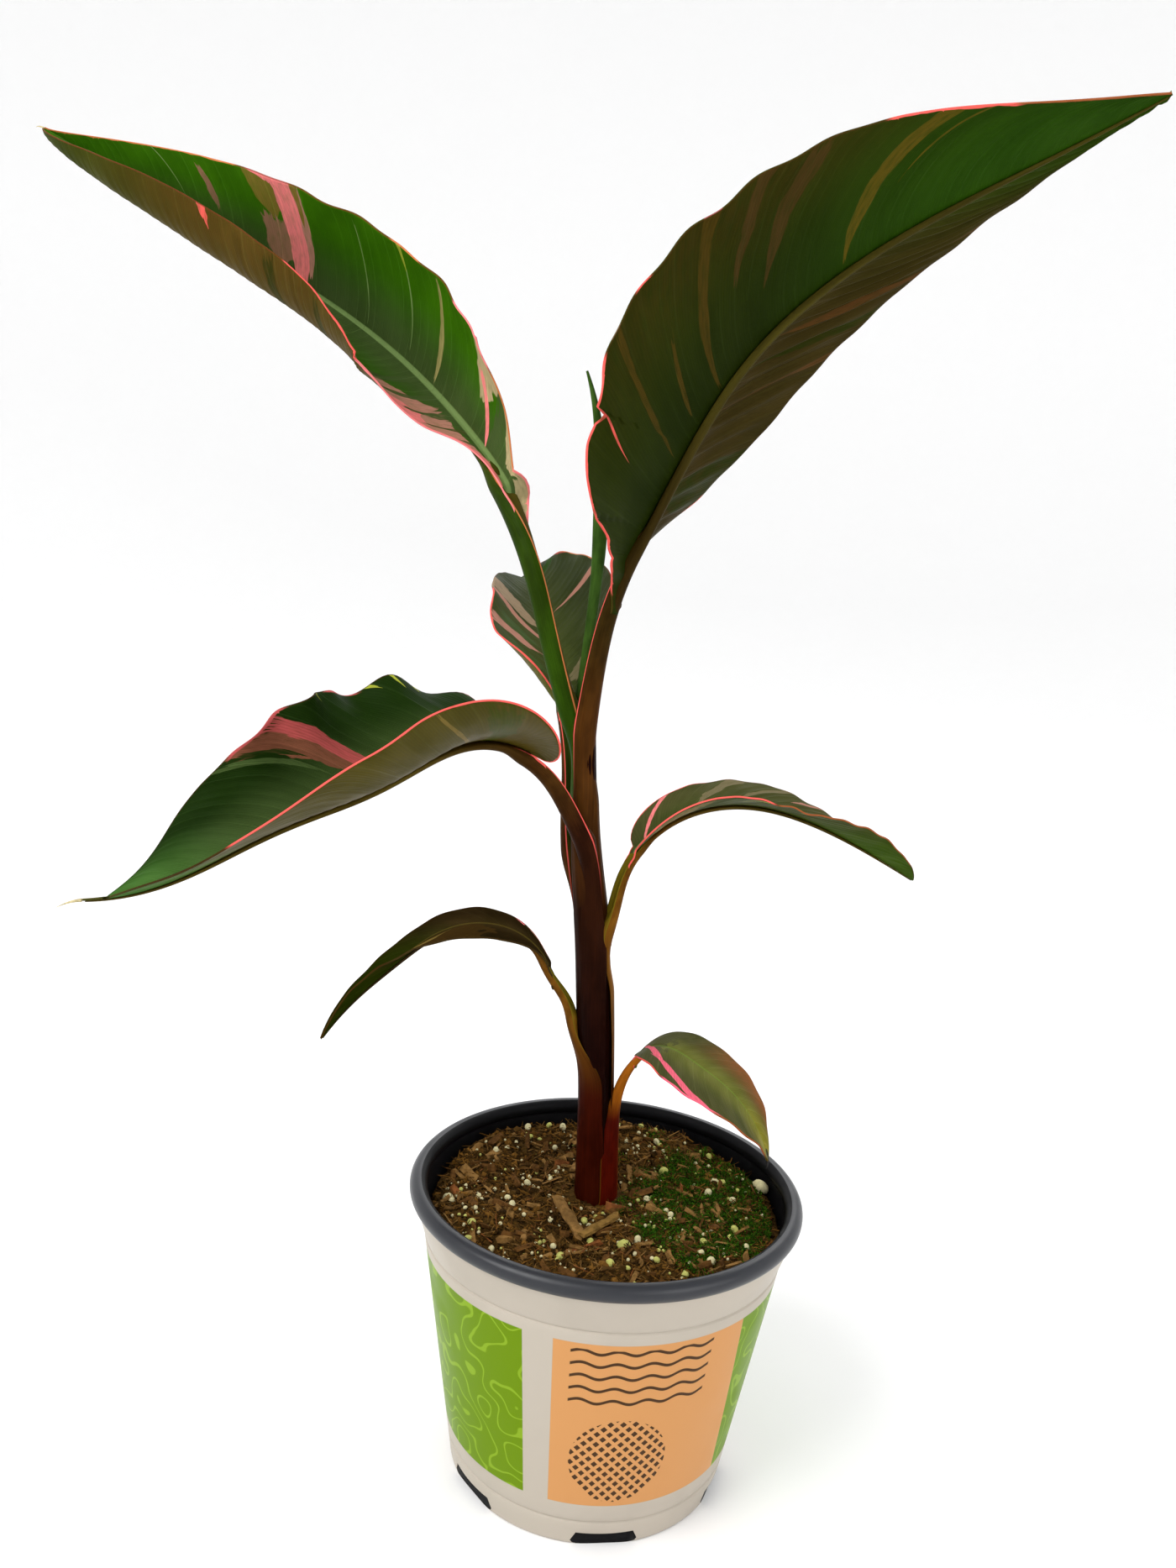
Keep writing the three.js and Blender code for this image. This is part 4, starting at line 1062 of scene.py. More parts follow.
def blade_material(name, leaf, face, paints, settings):
    """One face of a blade: its greens, veins, streaks, midrib and coloured edges."""
    look, length, upper = leaf[face], leaf["length"], face == "upper"
    material, web = new_material(f"blade_{name}_{face}")
    along, across = web.map("LeafMap")
    phase, from_rib = web.map("VeinMap")
    from_edge, distance = web.map("EdgeMap")
    patches, flecks = web.group(mottle_group(), along, across)

    def painted(mask, colour, key):
        return web.mix(mask, colour, getattr(paints, key))

    inner, outer, tip = look["paints"].split()
    colour = painted(web.step(abs(across), 0.05, 0.7), getattr(paints, inner), outer)
    colour = painted(web.step(along, *look.get("turn", (0.6, 0.95))), colour, tip)
    if "half" in look:
        sign, key, amount = look["half"]
        on_half = web.step(across * sign, 0.0, 0.12, 0.0, amount) * web.step(along, 0.55, 0.9, 1.0, 0.3)
        colour = painted(on_half, colour, key)
    colour = web.mix(patches * 0.6, colour, web.tint(colour, 0.6, 0.66, 0.5))
    if "blush" in look:
        sign, reach, amount, start, end, key = look["blush"]
        blush = web.step(across * sign, 1 - reach, 1.1, 0.0, amount)
        blush = blush * web.step(along, start - 0.12, start + 0.12) * web.fall(along, end - 0.12, end + 0.12)
        colour = painted(blush * web.step(flecks, 0.2, 0.65, 0.4, 1.0), colour, key)
    wear = (0.7, 1.0) if upper else (0.35, 0.85)
    for key, *ends, first, last, ragged in rows(look["streaks"]):
        mask = web.group(streak_group(), along, across, *ends, first / length, last / length, ragged)[0]
        colour = painted(mask * web.step(flecks, 0.2, 0.65, *wear), colour, key)
    line, fine, relief = web.group(vein_group(), phase, from_rib, 0.1 if upper else 0.16)
    lighter = web.mix(1.0, web.tint(colour, 1.7, 1.7, 1.6), (0.02, 0.03, 0.012), "ADD")
    colour = web.mix(line * look["vein"], colour, lighter)
    colour = web.mix(fine * 0.4, colour, web.tint(colour, 0.74, 0.76, 0.7))
    if upper:
        rib = settings.rib_width / MM / 2
        rib_width = web.step(along, 0.0, 1.0, rib * leaf["petiole"][2] / FULL_NECK, 0.25)
        key, amount = look.get("rib", ("pale_green", 0.75))
        colour = painted(web.fall(abs(from_rib), rib_width * 0.6, rib_width) * amount, colour, key)
    colour = painted(web.step(from_edge, 0.2, 0.45, 0.7, 0.0), colour, leaf["rim"])
    for key, sign, start, end, width in rows(leaf["edges"]):
        band = web.group(edge_group(), from_edge, distance, start * length, end * length, width)[0]
        colour = painted(band * web.step(across * sign, 0.0, 0.02), colour, key)
    gloss = web.step(patches, 0.0, 1.0, 0.42, 0.54)
    close_material(web, colour, gloss, relief + flecks * 0.3, 0.00025, leaf.get("shine", 0.02))
    return material


def thread_material(name, shade):
    """A dried thread: one colour with fine flecks."""
    material, web = new_material(name)
    flecks = web.noise(web.place(), 900.0, 3.0)
    colour = web.mix(web.step(flecks, 0.3, 0.7), shade, tinted(shade, 0.6))
    close_material(web, colour, web.step(flecks, 0.2, 0.8, 0.62, 0.78), flecks, 0.0001)
    return material


def stalk_material(name, shades, channel, lip_shade, reddened):
    """A stalk: the colours of its sheath, petiole and midrib in turn, with a lip line on each edge."""
    material, web = new_material(name)
    turn, along = web.map("StalkMap")
    fibres = web.flat_noise(turn * 70, along * 3, 3.0)
    clouds = web.flat_noise(turn * 4, along * 5, 3.0)
    low, top, petiole, rib = shades
    colour = web.mix(web.step(along, -1.9, -1.1), low, top)
    colour = web.mix(web.step(along, *reddened), colour, petiole)
    colour = web.mix(web.step(along, -0.1, 0.4), colour, rib)
    colour = web.mix(web.step(clouds, 0.35, 0.65, 0.0, 0.7), colour, web.tint(colour, 0.5, 0.46, 0.42))
    colour = web.mix(web.step(fibres, 0.45, 0.7, 0.0, 0.5), colour, web.tint(colour, 1.6, 1.5, 1.4))
    out = abs(turn)
    on_stalk = web.fall(along, 0.0, 0.06)
    in_channel = web.fall(out, 0.12, 0.14) * (web.step(along, -1.1, -0.8) * on_stalk)
    colour = web.mix(in_channel * 0.85, colour, channel)
    line = web.fall(abs(out - 0.153), 0.008, 0.016) * web.step(along, -1.25, -0.9) * on_stalk
    colour = web.mix(line, colour, lip_shade)
    close_material(web, colour, web.step(fibres, 0.2, 0.8, 0.38, 0.5), fibres, 0.0002, 0.02)
    return material


def wrapped_material(name, shade, edge_shade):
    """The stem's core or the rolled leaf: long fibres, and a paler line along the free edge."""
    material, web = new_material(name)
    turn, along = web.map("StalkMap")
    fibres = web.flat_noise(turn * 90, along * 6, 3.0)
    clouds = web.flat_noise(turn * 3, along * 9, 3.0)
    colour = web.mix(web.step(clouds, 0.3, 0.65), shade, tinted(shade, 0.5))
    colour = web.mix(web.step(fibres, 0.45, 0.7, 0.0, 0.6), colour, web.tint(colour, 1.5, 1.5, 1.4))
    colour = web.mix(web.step(abs(turn), 0.475, 0.49) * 0.8, colour, edge_shade)
    close_material(web, colour, web.step(fibres, 0.2, 0.8, 0.35, 0.48), fibres, 0.0003, 0.015)
    return material


def grain_material(name, shade, spread=0.5, roughness=0.9, scale=500.0):
    """Peat, bark, perlite or moss: one colour, cloudy and rough."""
    material, web = new_material(name)
    place = web.place()
    rough = web.noise(place, scale, 4.0, 0.6)
    clouds = web.noise(place, scale / 4, 2.0)
    darker = tinted(shade, spread)
    colour = web.mix(web.step(rough, 0.35, 0.65), darker, shade)
    colour = web.mix(web.step(clouds, 0.4, 0.7, 0.0, 0.5), colour, darker)
    close_material(web, colour, roughness, rough, 0.0004, 0.05)
    return material


# The pot


def carry_on(section, end, count):
    """Carries a section on in a straight line to its end."""
    start = np.array(section[-1])
    section.extend(start + (end - start) * share for share in np.linspace(0, 1, count)[1:])


def pot_profile(settings):
    """The pot's section from the middle of its underside, up the outside, over the bead and in, and
    the number of the point where the bead begins."""
    bead_radius = settings.bead_radius / MM
    bead_height = settings.height / MM - bead_radius
    section = [(r, 0.0) for r in np.linspace(0, POT_BASE_RADIUS - FOOT_ROUND, 16)]
    section += [
        (POT_BASE_RADIUS - FOOT_ROUND + FOOT_ROUND * math.sin(a), FOOT_ROUND - FOOT_ROUND * math.cos(a))
        for a in np.linspace(0.2, math.pi / 2, 6)
    ]
    for radius, groove_height in (LOWER_GROOVE, UPPER_GROOVE):
        low = groove_height - GROOVE_HALF_HEIGHT
        count = max(4, int((low - section[-1][1]) / 3))
        carry_on(section, (radius - POT_SLOPE * GROOVE_HALF_HEIGHT, low), count)
        for turn in np.linspace(-1, 1, 9)[1:]:
            dip = GROOVE_DEPTH * (0.5 + 0.5 * math.cos(math.pi * turn))
            rise = turn * GROOVE_HALF_HEIGHT
            section.append((radius + POT_SLOPE * rise - dip, groove_height + rise))
    bead = len(section)
    section += [
        (BEAD_CENTRE_RADIUS + bead_radius * math.cos(a), bead_height + bead_radius * math.sin(a))
        for a in np.radians(np.linspace(-70, 230, 40))
    ]
    for radius, height in (UPPER_GROOVE, LOWER_GROOVE, (POT_BASE_RADIUS, POT_FLOOR)):
        carry_on(section, (radius - POT_WALL, height), 9)
    return np.array([*section, (0.0, POT_FLOOR)]), bead


def make_pot(settings, materials):
    """The turned pot with its foot notches cut, and a map of angle and height for its print."""
    section, bead = pot_profile(settings)
    parts = Parts()
    add_tube(parts, np.stack([circle(r, around(192), z) for r, z in section[1:-1]]))
    points = parts.points[0]
    points[-2:] = [(0, 0, section[0, 1]), (0, 0, section[-1, 1])]
    pot = add_piece("pot_body", points, parts.faces, materials)
    cutters = []
    for k in range(NOTCH["count"]):
        turn = math.radians(NOTCH["turn"] + 360 * k / NOTCH["count"])
        below, above = NOTCH["below"] / 2, NOTCH["above"] / 2
        outline = [(-below, -1), (below, -1), (above, NOTCH["height"]), (-above, NOTCH["height"])]
        corners = [(x, -NOTCH["inner"] - depth, z) for depth in (0, NOTCH["depth"]) for x, z in outline]
        spun = [Matrix.Rotation(turn, 3, "Z") @ Vector(corner) for corner in corners]
        faces = [(3, 2, 1, 0), (4, 5, 6, 7), (1, 5, 4, 0), (2, 6, 5, 1), (3, 7, 6, 2), (0, 4, 7, 3)]
        cutter = add_piece(f"notch_cutter_{k}", spun, faces, materials[2:3], smooth_shading=False)
        modifier = pot.modifiers.new("notch", "BOOLEAN")
        modifier.operation = "DIFFERENCE"
        modifier.solver = "EXACT"
        modifier.object = cutter
        cutters.append(cutter)
    bpy.context.view_layer.update()
    cut = bpy.data.meshes.new_from_object(pot.evaluated_get(bpy.context.evaluated_depsgraph_get()))
    pot.modifiers.clear()
    old = pot.data
    pot.data = cut
    bpy.data.meshes.remove(old)
    for cutter in cutters:
        bpy.data.objects.remove(cutter)
    finish_pot_faces(cut, section[bead][1] * MM)
    return pot


def degrees_round(point):
    """The angle of a point round the pot, from the side of the camera."""
    return math.degrees(math.atan2(point.x, -point.y))


def finish_pot_faces(mesh, bead_low):
    """Deals the outside, bead and inside colours out by place and writes the print's map."""
    layer = mesh.uv_layers.new(name="WrapMap")
    for face in mesh.polygons:
        centre, normal = face.center, face.normal
        radius = math.hypot(centre.x, centre.y)
        lean = (centre.x * normal.x + centre.y * normal.y) / max(radius, 1e-6)
        wall_middle = (LOWER_GROOVE[0] - 1.2) * MM + POT_SLOPE * (centre.z - LOWER_GROOVE[1] * MM)
        # The notch faces take the black inside colour. This is partly the pot's own black plastic and partly
        # painted shade: the closed back of the shallow pocket stands where the real notch opens into the dark
        # under the pot.
        in_notch = centre.z < (NOTCH["height"] + 0.1) * MM and radius < (POT_BASE_RADIUS - 0.9) * MM
        if in_notch and abs(normal.z) < 0.95:
            face.material_index = 2
        elif centre.z > bead_low - 0.0002 and radius > (UPPER_GROOVE[0] - POT_WALL + 0.5) * MM:
            face.material_index = 1 if lean > -0.25 else 2
        elif radius < wall_middle and (lean < -0.1 or normal.z > 0.5):
            face.material_index = 2
        else:
            face.material_index = 0
        middle = degrees_round(centre)
        for loop in face.loop_indices:
            corner = mesh.vertices[mesh.loops[loop].vertex_index].co
            angle = middle + (degrees_round(corner) - middle + 180) % 360 - 180
            layer.uv[loop].vector = (angle, corner.z / MM)
        face.use_smooth = True
    mesh.set_sharp_from_angle(angle=math.radians(40))


def moulded_group():
    """Moulded plastic: a faint orange peel and a few rubbed places."""

    def lay(web, scale):
        place = web.place()
        rubbed = web.step(web.noise(place, 35.0, 4.0), 0.45, 0.75)
        return [rubbed, web.noise(place, scale, 3.0) * 0.5]

    return shader_group("Moulded plastic", {"Scale": 700.0}, ["Rubbed", "Height"], lay)


def plastic_material(name, shade, roughness, shine):
    material, web = new_material(name)
    rubbed, peel = web.group(moulded_group(), 700.0)
    colour = web.mix(rubbed * 0.6, shade, tinted(shade, 0.86))
    gloss = web.step(rubbed, 0.0, 1.0, roughness, roughness + 0.12)
    close_material(web, colour, gloss, peel, 0.00003, shine)
    return material


def print_material(settings):
    """White plastic with a printed wrap: green panels of contour lines and one peach panel."""
    material, web = new_material("pot_print")
    angle, height = web.map("WrapMap")
    rubbed, peel = web.group(moulded_group(), 700.0)
    colour = web.mix(rubbed * 0.6, settings.plastic, tinted(settings.plastic, 0.9))

    def between(value, low, high, soft):
        return web.step(value, low - soft, low + soft) * web.fall(value, high - soft, high + soft)

    def from_middle(value):
        """How far the fraction of a value is from a half."""
        return abs(web.math("FRACT", value) - 0.5)

    printed = between(height, *PRINT_HEIGHTS, 0.15)
    low, high = PRINT_HEIGHTS
    slant = {"Value": height, "From Min": low, "From Max": high, "To Min": 58, "To Max": 50}
    right_edge = web.value("ShaderNodeMapRange", slant)
    peach = between(angle, STRIP[1], right_edge, 0.12) * printed
    green = printed
    for hole in (between(angle, *STRIP, 0.12), web.step(abs(angle), 176.6, 176.9), peach):
        green = green * (1 - hole)
    arc = angle * math.radians(WRAP_RADIUS)

    contour = web.fall(from_middle(web.flat_noise(arc, height, 1.0, 0.045) * 9.0), 0.055, 0.1)
    colour = web.mix(green, colour, web.mix(contour * 0.75, settings.print_green, settings.print_pale))

    waved = height + web.math("SINE", arc * 0.55) * 0.8
    rule = web.fall(from_middle((waved - 62.0) / RULE_SPACING), 0.1, 0.14)
    rule = rule * between(height, *RULE_HEIGHTS, 0.2) * between(angle, *RULE_ANGLES, 0.2)
    ways = (arc + height, arc - height)
    widest = web.math("MAXIMUM", *[from_middle(way / DIAMOND_PITCH) for way in ways])
    out_x = arc - DISC_CENTRE[0]
    out_z = height - DISC_CENTRE[1]
    reach = web.math("SQRT", out_x * out_x + out_z * out_z)
    disc = web.fall(reach, DISC_RADIUS, DISC_RADIUS + 0.3)
    marks = web.math("MAXIMUM", rule, web.fall(widest, 0.27, 0.31) * disc)
    colour = web.mix(peach, colour, web.mix(marks * 0.92, settings.print_peach, settings.print_slate))
    close_material(web, colour, web.step(rubbed, 0.0, 1.0, 0.3, 0.42), peel, 0.00006, 0.05)
    return material


# The soil and what lies on it


def soil_height(x, y):
    """The soil's surface before its clods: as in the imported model, but a little higher to the back."""
    foot_x, foot_y = STEM_STATIONS[0][1:3]
    uneven = np.clip(np.hypot(x - foot_x, y - foot_y) / 22 - 1, 0, 1)
    level = SOIL_LEVEL + SOIL_RISE * ease(y, 4, 62)
    return level + 0.8 * uneven * (np.sin(0.11 * x + 0.6) + np.cos(0.13 * y - 0.05 * x))


def clod(x, y):
    """The height of the lumps of peat at a place, as a share."""
    large = noise.fractal(Vector((x * 0.11, y * 0.11, 3.1)), 0.8, 2.1, 4)
    return large + 0.35 * noise.noise(Vector((x * 0.9, y * 0.9, 7.7)))


def ground(x, y, amount):
    """Height of the finished surface at places on it."""
    return soil_height(x, y) + np.array([clod(*place) for place in zip(x, y)]) * amount - 0.4


def make_soil_bed(settings, materials):
    angles = around(240)
    sides = ((POT_BASE_RADIUS, POT_FLOOR + SOIL_GAP), LOWER_GROOVE, UPPER_GROOVE)
    rings = [circle(radius - POT_WALL - SOIL_GAP, angles, z) for radius, z in sides]
    brim = UPPER_GROOVE[0] - POT_WALL - SOIL_GAP + 0.9
    for radius in np.linspace(brim, 1.5, 90):
        ring = circle(radius, angles, 0)
        sunk = 1.6 * ease(radius, brim - 4, brim)
        ring[:, 2] = ground(ring[:, 0], ring[:, 1], settings.roughness / MM) - sunk
        rings.append(ring)
    parts = Parts()
    add_tube(parts, np.stack(rings))
    return parts.piece("soil_bed", materials)


def scatter(rng, count, high, keep=None):
    """Places on the soil, clear of the stems, as x and y."""
    found = np.zeros((0, 2))
    while len(found) < count:
        radius = np.sqrt(rng.uniform(0, high**2, 2 * count))
        places = circle(radius, rng.uniform(0, TURN, 2 * count), 0)[:, :2]
        clear = np.hypot(*(places - STEMS_CENTRE).T) > STEMS_RADIUS
        if keep is not None:
            clear &= keep(places[:, 0], places[:, 1], rng)
        found = np.vstack([found, places[clear]])
    return found[:count]


def random_turns(rng, count, tilt):
    """Rotation matrices: a turn about Z after a tilt of up to the given angle in radians."""
    angles = [rng.uniform(low, high, count) for low, high in ((0, TURN), (-tilt, tilt), (0, TURN))]
    turns = ([Matrix.Rotation(angle, 3, axis) for angle, axis in zip(three, "ZYX")] for three in zip(*angles))
    return np.array([yaw @ lean @ spin for yaw, lean, spin in turns])


def round_lump(subdivisions):
    """Points and faces of a round lump."""
    work = bmesh.new()
    bmesh.ops.create_icosphere(work, subdivisions=subdivisions, radius=1.0)
    work.verts.index_update()
    points = np.array([vertex.co for vertex in work.verts], float)
    faces = np.array([[vertex.index for vertex in face.verts] for face in work.faces])
    work.free()
    return points, faces


def splinter(steps, sides):
    """Points and faces of a splinter 2 long along X and 2 across, with rough ends."""
    x = np.linspace(-1, 1, steps)
    points = np.array([[px, math.cos(a), math.sin(a)] for px in x for a in around(sides) + 0.4])
    faces = grid_faces(steps, sides)
    last = (steps - 1) * sides
    s = np.arange(1, sides - 1)
    return points, np.vstack([
        faces[:, [0, 2, 1]], faces[:, [0, 3, 2]],
        np.stack([0 * s, s, s + 1], -1), np.stack([0 * s, s + 1, s], -1) + last,
    ])


def scattered_piece(name, shape, places, heights, sizes, turns, kinds, materials, rng, jitter):
    """Many copies of one small shape, each of its own size, turn, material and bumps, in one piece."""
    base, faces = shape
    count, corners = len(places), len(base)
    points = (base[None] + rng.normal(0, jitter, (count, corners, 3))) * sizes[:, None, :]
    points = np.einsum("nij,nkj->nki", turns, points) + np.column_stack([places, heights])[:, None, :]
    all_faces = (faces[None] + (np.arange(count) * corners)[:, None, None]).reshape(-1, faces.shape[1])
    numbers = np.repeat(kinds, len(faces))
    return add_piece(name, points.reshape(-1, 3), all_faces, materials, numbers, smooth_shading=jitter < 0.1)


def in_moss(x, y, rng):
    """Whether a place is in the mossy patch, which thins out at its border."""
    patch = 1.1 - np.hypot((x - 44) / 32, (y - 8) / 42)
    patch = patch + 0.35 * np.sin(0.21 * x + 1) * np.cos(0.17 * y)
    return rng.uniform(-0.12, 0.3, len(x)) < patch


# Operators


class PLANT_OT_pot(bpy.types.Operator):
    """Makes the nursery pot with its grooves, notches, rolled rim and printed wrap"""

    bl_idname = "plant.pot"
    bl_label = "Pot"

    def execute(self, context):
        settings = context.scene.plant_pot
        materials = [
            print_material(settings),
            plastic_material("pot_bead", settings.bead, 0.32, 0.45),
            plastic_material("pot_inside", settings.inside, 0.4, 0.08),
        ]
        dress(make_pot(settings, materials), "pot", "pot")
        return {"FINISHED"}


class PLANT_OT_soil(bpy.types.Operator):
    """Makes the peat and scatters crumbs, fibres, bark chips, perlite and moss on it"""

    bl_idname = "plant.soil"
    bl_label = "Soil"

    def execute(self, context):
        settings = context.scene.plant_soil
        rng = np.random.default_rng(settings.seed)
        amount = settings.roughness / MM
        peat, bark, perlite, moss = settings.peat, settings.bark, settings.perlite, settings.moss
        peats = [
            grain_material("peat_dark", tinted(peat, 0.45, 0.42, 0.4), 0.4),
            grain_material("peat_brown", peat, 0.45),
            grain_material("peat_light", tinted(peat, 2.1, 1.9, 1.6), 0.5),
        ]
        barks = [
            grain_material("bark_tan", bark, 0.5, 0.85, 350.0),
            grain_material("bark_red", tinted(bark, 0.95, 0.62, 0.6), 0.5, 0.85, 350.0),
            grain_material("bark_brown", tinted(bark, 0.5, 0.42, 0.36), 0.45, 0.85, 350.0),
        ]
        grey_bark = grain_material("bark_grey", tinted(bark, 0.9, 0.95, 0.8), 0.5, 0.85, 350.0)
        stones = [
            grain_material("perlite_white", perlite, 0.75, 0.8, 700.0),
            grain_material("perlite_mossy", tinted(perlite, 0.78, 0.86, 0.42), 0.7, 0.8, 700.0),
        ]
        mosses = [
            grain_material("moss_dark", tinted(moss, 0.6, 0.62, 0.6), 0.5, 0.8),
            grain_material("moss_green", moss, 0.6, 0.75),
            grain_material("moss_fresh", tinted(moss, 2.0, 1.8, 1.5), 0.6, 0.75),
        ]
        dress(make_soil_bed(settings, [peats[1]]), "soil", "soil")

        def lay(name, shape, places, sizes, tilt, lift, kinds, materials, jitter):
            heights = ground(places[:, 0], places[:, 1], amount) + lift
            turns = random_turns(rng, len(places), tilt)
            piece = scattered_piece(name, shape, places, heights, sizes, turns, kinds, materials, rng, jitter)
            dress(piece, "soil")

        count = settings.crumbs
        places = scatter(rng, count, 66.2)
        size = rng.gamma(2.4, 0.24, count)[:, None] + 0.28
        sizes = size * rng.uniform(0.6, 1.1, (count, 3))
        kinds = rng.choice(3, count, p=(0.42, 0.31, 0.27))
        lay("soil_crumbs", round_lump(1), places, sizes, 1.5, 0.1, kinds, peats, 0.17)

        count = settings.fibres
        places = scatter(rng, count, 65.5)
        ranges = ((1.0, 4.5), (0.09, 0.26), (0.09, 0.22))
        sizes = np.stack([rng.uniform(low, high, count) for low, high in ranges], -1)
        kinds = rng.choice(6, count, p=(0.2, 0.25, 0.3, 0.15, 0.03, 0.07))
        lay("peat_fibres", splinter(4, 3), places, sizes, 0.5, 0.7, kinds, peats + barks, 0.12)

        count = settings.chips
        places = scatter(rng, count, 63)
        long = np.minimum(rng.gamma(2.2, 1.1, count) + 1.0, 4.6)
        thin = rng.uniform(0.35, 0.8, count)
        sizes = np.stack([long, 0.45 + 0.28 * long * rng.uniform(0.5, 1.2, count), thin], -1)
        kinds = rng.choice(3, count, p=(0.56, 0.06, 0.38))
        lay("bark_chips", splinter(4, 5), places, sizes, 0.45, 0.9, kinds, barks, 0.1)

        ends = (((-18.9, -0.8), (-7.9, -27.2)), ((-7.8, -28.4), (5.6, -10.6)))
        points, faces = splinter(9, 6)
        parts = Parts()
        for k, (start, end) in enumerate(np.array(ends)):
            half = (end - start) / 2
            across = np.array([-half[1], half[0]]) / np.hypot(*half) * (2.3 - 0.4 * k)
            rough = points + rng.normal(0, 0.1, points.shape)
            flat = (start + end) / 2 + rough[:, :1] * half + rough[:, 1:2] * across
            parts.add(np.column_stack([flat, 103.9 + 0.5 * k + rough[:, 2]]), faces, k)
        dress(parts.piece("bark_long_chips", [barks[0], grey_bark], False), "soil")

        count = settings.perlite_grains
        places = scatter(rng, count, 64)
        fixed = np.array([(64.7, 22.6), (8.7, -30.4), (-62.5, -6.3), (46, 26), (52, -8), (24, 30)])
        places[: len(fixed)] = fixed * 0.97
        large = rng.random(count) < 0.16
        size = np.where(large, rng.uniform(0.9, 1.7, count), rng.uniform(0.25, 0.85, count))
        size[: len(fixed)] = (3.1, 2.6, 2.4, 2.0, 1.8, 2.0)
        sizes = size[:, None] * rng.uniform(0.75, 1.15, (count, 3))
        mossy = (places[:, 0] > 10) | (places[:, 1] < -10)
        kinds = np.where(rng.random(count) < np.where(mossy, 0.45, 0.12), 1, 0)
        kinds[:2] = (0, 1)
        lay("perlite_grains", round_lump(3), places, sizes, 1.5, 0.9, kinds, stones, 0.035)

        count = settings.moss_leaves
        places = scatter(rng, count, 65, in_moss)
        ranges = ((0.5, 1.3), (0.12, 0.28), (0.06, 0.12))
        sizes = np.stack([rng.uniform(low, high, count) for low, high in ranges], -1)
        kinds = rng.choice(3, count, p=(0.45, 0.42, 0.13))
        blade = np.array([(-1, 0, 0), (0, 1, 0.5), (1, 0, 0), (0, -1, 0.5), (0, 0, -1)], float)
        blade_faces = np.array([(0, 1, 3), (1, 2, 3), (0, 4, 1), (1, 4, 2), (2, 4, 3), (3, 4, 0)])
        lift = rng.uniform(0.2, 1.7, count)
        lay("moss_leaves", (blade, blade_faces), places, sizes, 1.3, lift, kinds, mosses, 0.05)
        return {"FINISHED"}


class PLANT_OT_stem(bpy.types.Operator):
    """Makes the core of the pseudostem, which the sheaths wrap"""

    bl_idname = "plant.stem"
    bl_label = "Stem core"

    def execute(self, context):
        shade = context.scene.plant_paints.stem_dark
        parts = Parts("StalkMap")
        add_stem_core(parts)
        piece = parts.piece("pseudostem_core", [wrapped_material("stem_core", shade, shade)])
        dress(piece, "pseudostem", "pseudostem")
        return {"FINISHED"}


class PLANT_OT_stalks(bpy.types.Operator):
    """Makes each sheath and petiole, which runs on as the midrib of its blade"""

    bl_idname = "plant.stalks"
    bl_label = "Sheaths, petioles and midribs"

    def execute(self, context):
        paints = context.scene.plant_paints
        for name, leaf in LEAVES.items():
            parts = Parts("StalkMap")
            add_stalk(parts, leaf, SHEATHS[name])
            keys = (*leaf["stalk"], leaf["channel"], leaf["lip"])
            *shades, channel, lip = [getattr(paints, key) for key in keys]
            reddened = leaf.get("reddened", (-0.95, -0.35))
            material = stalk_material(f"stalk_{name}", shades, channel, lip, reddened)
            dress(parts.piece(f"stalk_{name}", [material]), "petiole", f"petiole_{name}")
        return {"FINISHED"}


class PLANT_OT_blades(bpy.types.Operator):
    """Makes each blade as a thin shell with side veins, streaks and a coloured margin"""

    bl_idname = "plant.blades"
    bl_label = "Blades"

    def execute(self, context):
        settings = context.scene.plant_leaves
        paints = context.scene.plant_paints
        rng = np.random.default_rng(settings.seed)
        straw = thread_material("dried_tip", paints.dry_straw)
        black = thread_material("dried_black", paints.dry_black)
        for name, leaf in LEAVES.items():
            parts = Parts("LeafMap", "VeinMap", "EdgeMap")
            add_blade(parts, leaf, settings, rng)
            if name in TIP_THREADS:
                add_tip_thread(parts, leaf, TIP_THREADS[name], 2)
            materials = [blade_material(name, leaf, face, paints, settings) for face in ("upper", "under")]
            materials.append(black if name == "lower_right" else straw)
            nodes = [f"blade_{name}{part}" for part in leaf["parts"]]
            dress(parts.piece(f"blade_{name}", materials), "blade", *nodes)
        return {"FINISHED"}


class PLANT_OT_spear(bpy.types.Operator):
    """Makes the youngest leaf, still rolled into a spear"""

    bl_idname = "plant.spear"
    bl_label = "Rolled leaf"

    def execute(self, context):
        paints = context.scene.plant_paints
        parts = Parts("StalkMap")
        add_spear(parts)
        material = wrapped_material("rolled_leaf", paints.spear_green, paints.pale_green)
        dress(parts.piece("rolled_leaf", [material]), "rolled_leaf", "leaf_rolled")
        return {"FINISHED"}


def camera_axes():
    """The camera's right, up and forward directions, from its pitch, roll and yaw."""
    pitch, roll, yaw = (math.radians(angle) for angle in (CAMERA_PITCH, CAMERA_ROLL, CAMERA_YAW))
    forward = Vector((
        math.cos(pitch) * math.sin(yaw), math.cos(pitch) * math.cos(yaw), -math.sin(pitch),
    ))
    right = forward.cross(Vector((0, 0, 1))).normalized()
    up = right.cross(forward)
    rolled_right = right * math.cos(roll) + up * math.sin(roll)
    return rolled_right, up * math.cos(roll) - right * math.sin(roll), forward


def add_object(name, data, matrix):
    """An object of the stage with its place and turn."""
    made = bpy.data.objects.new(name, data)
    bpy.context.scene.collection.objects.link(made)
    made.matrix_world = matrix
    return made


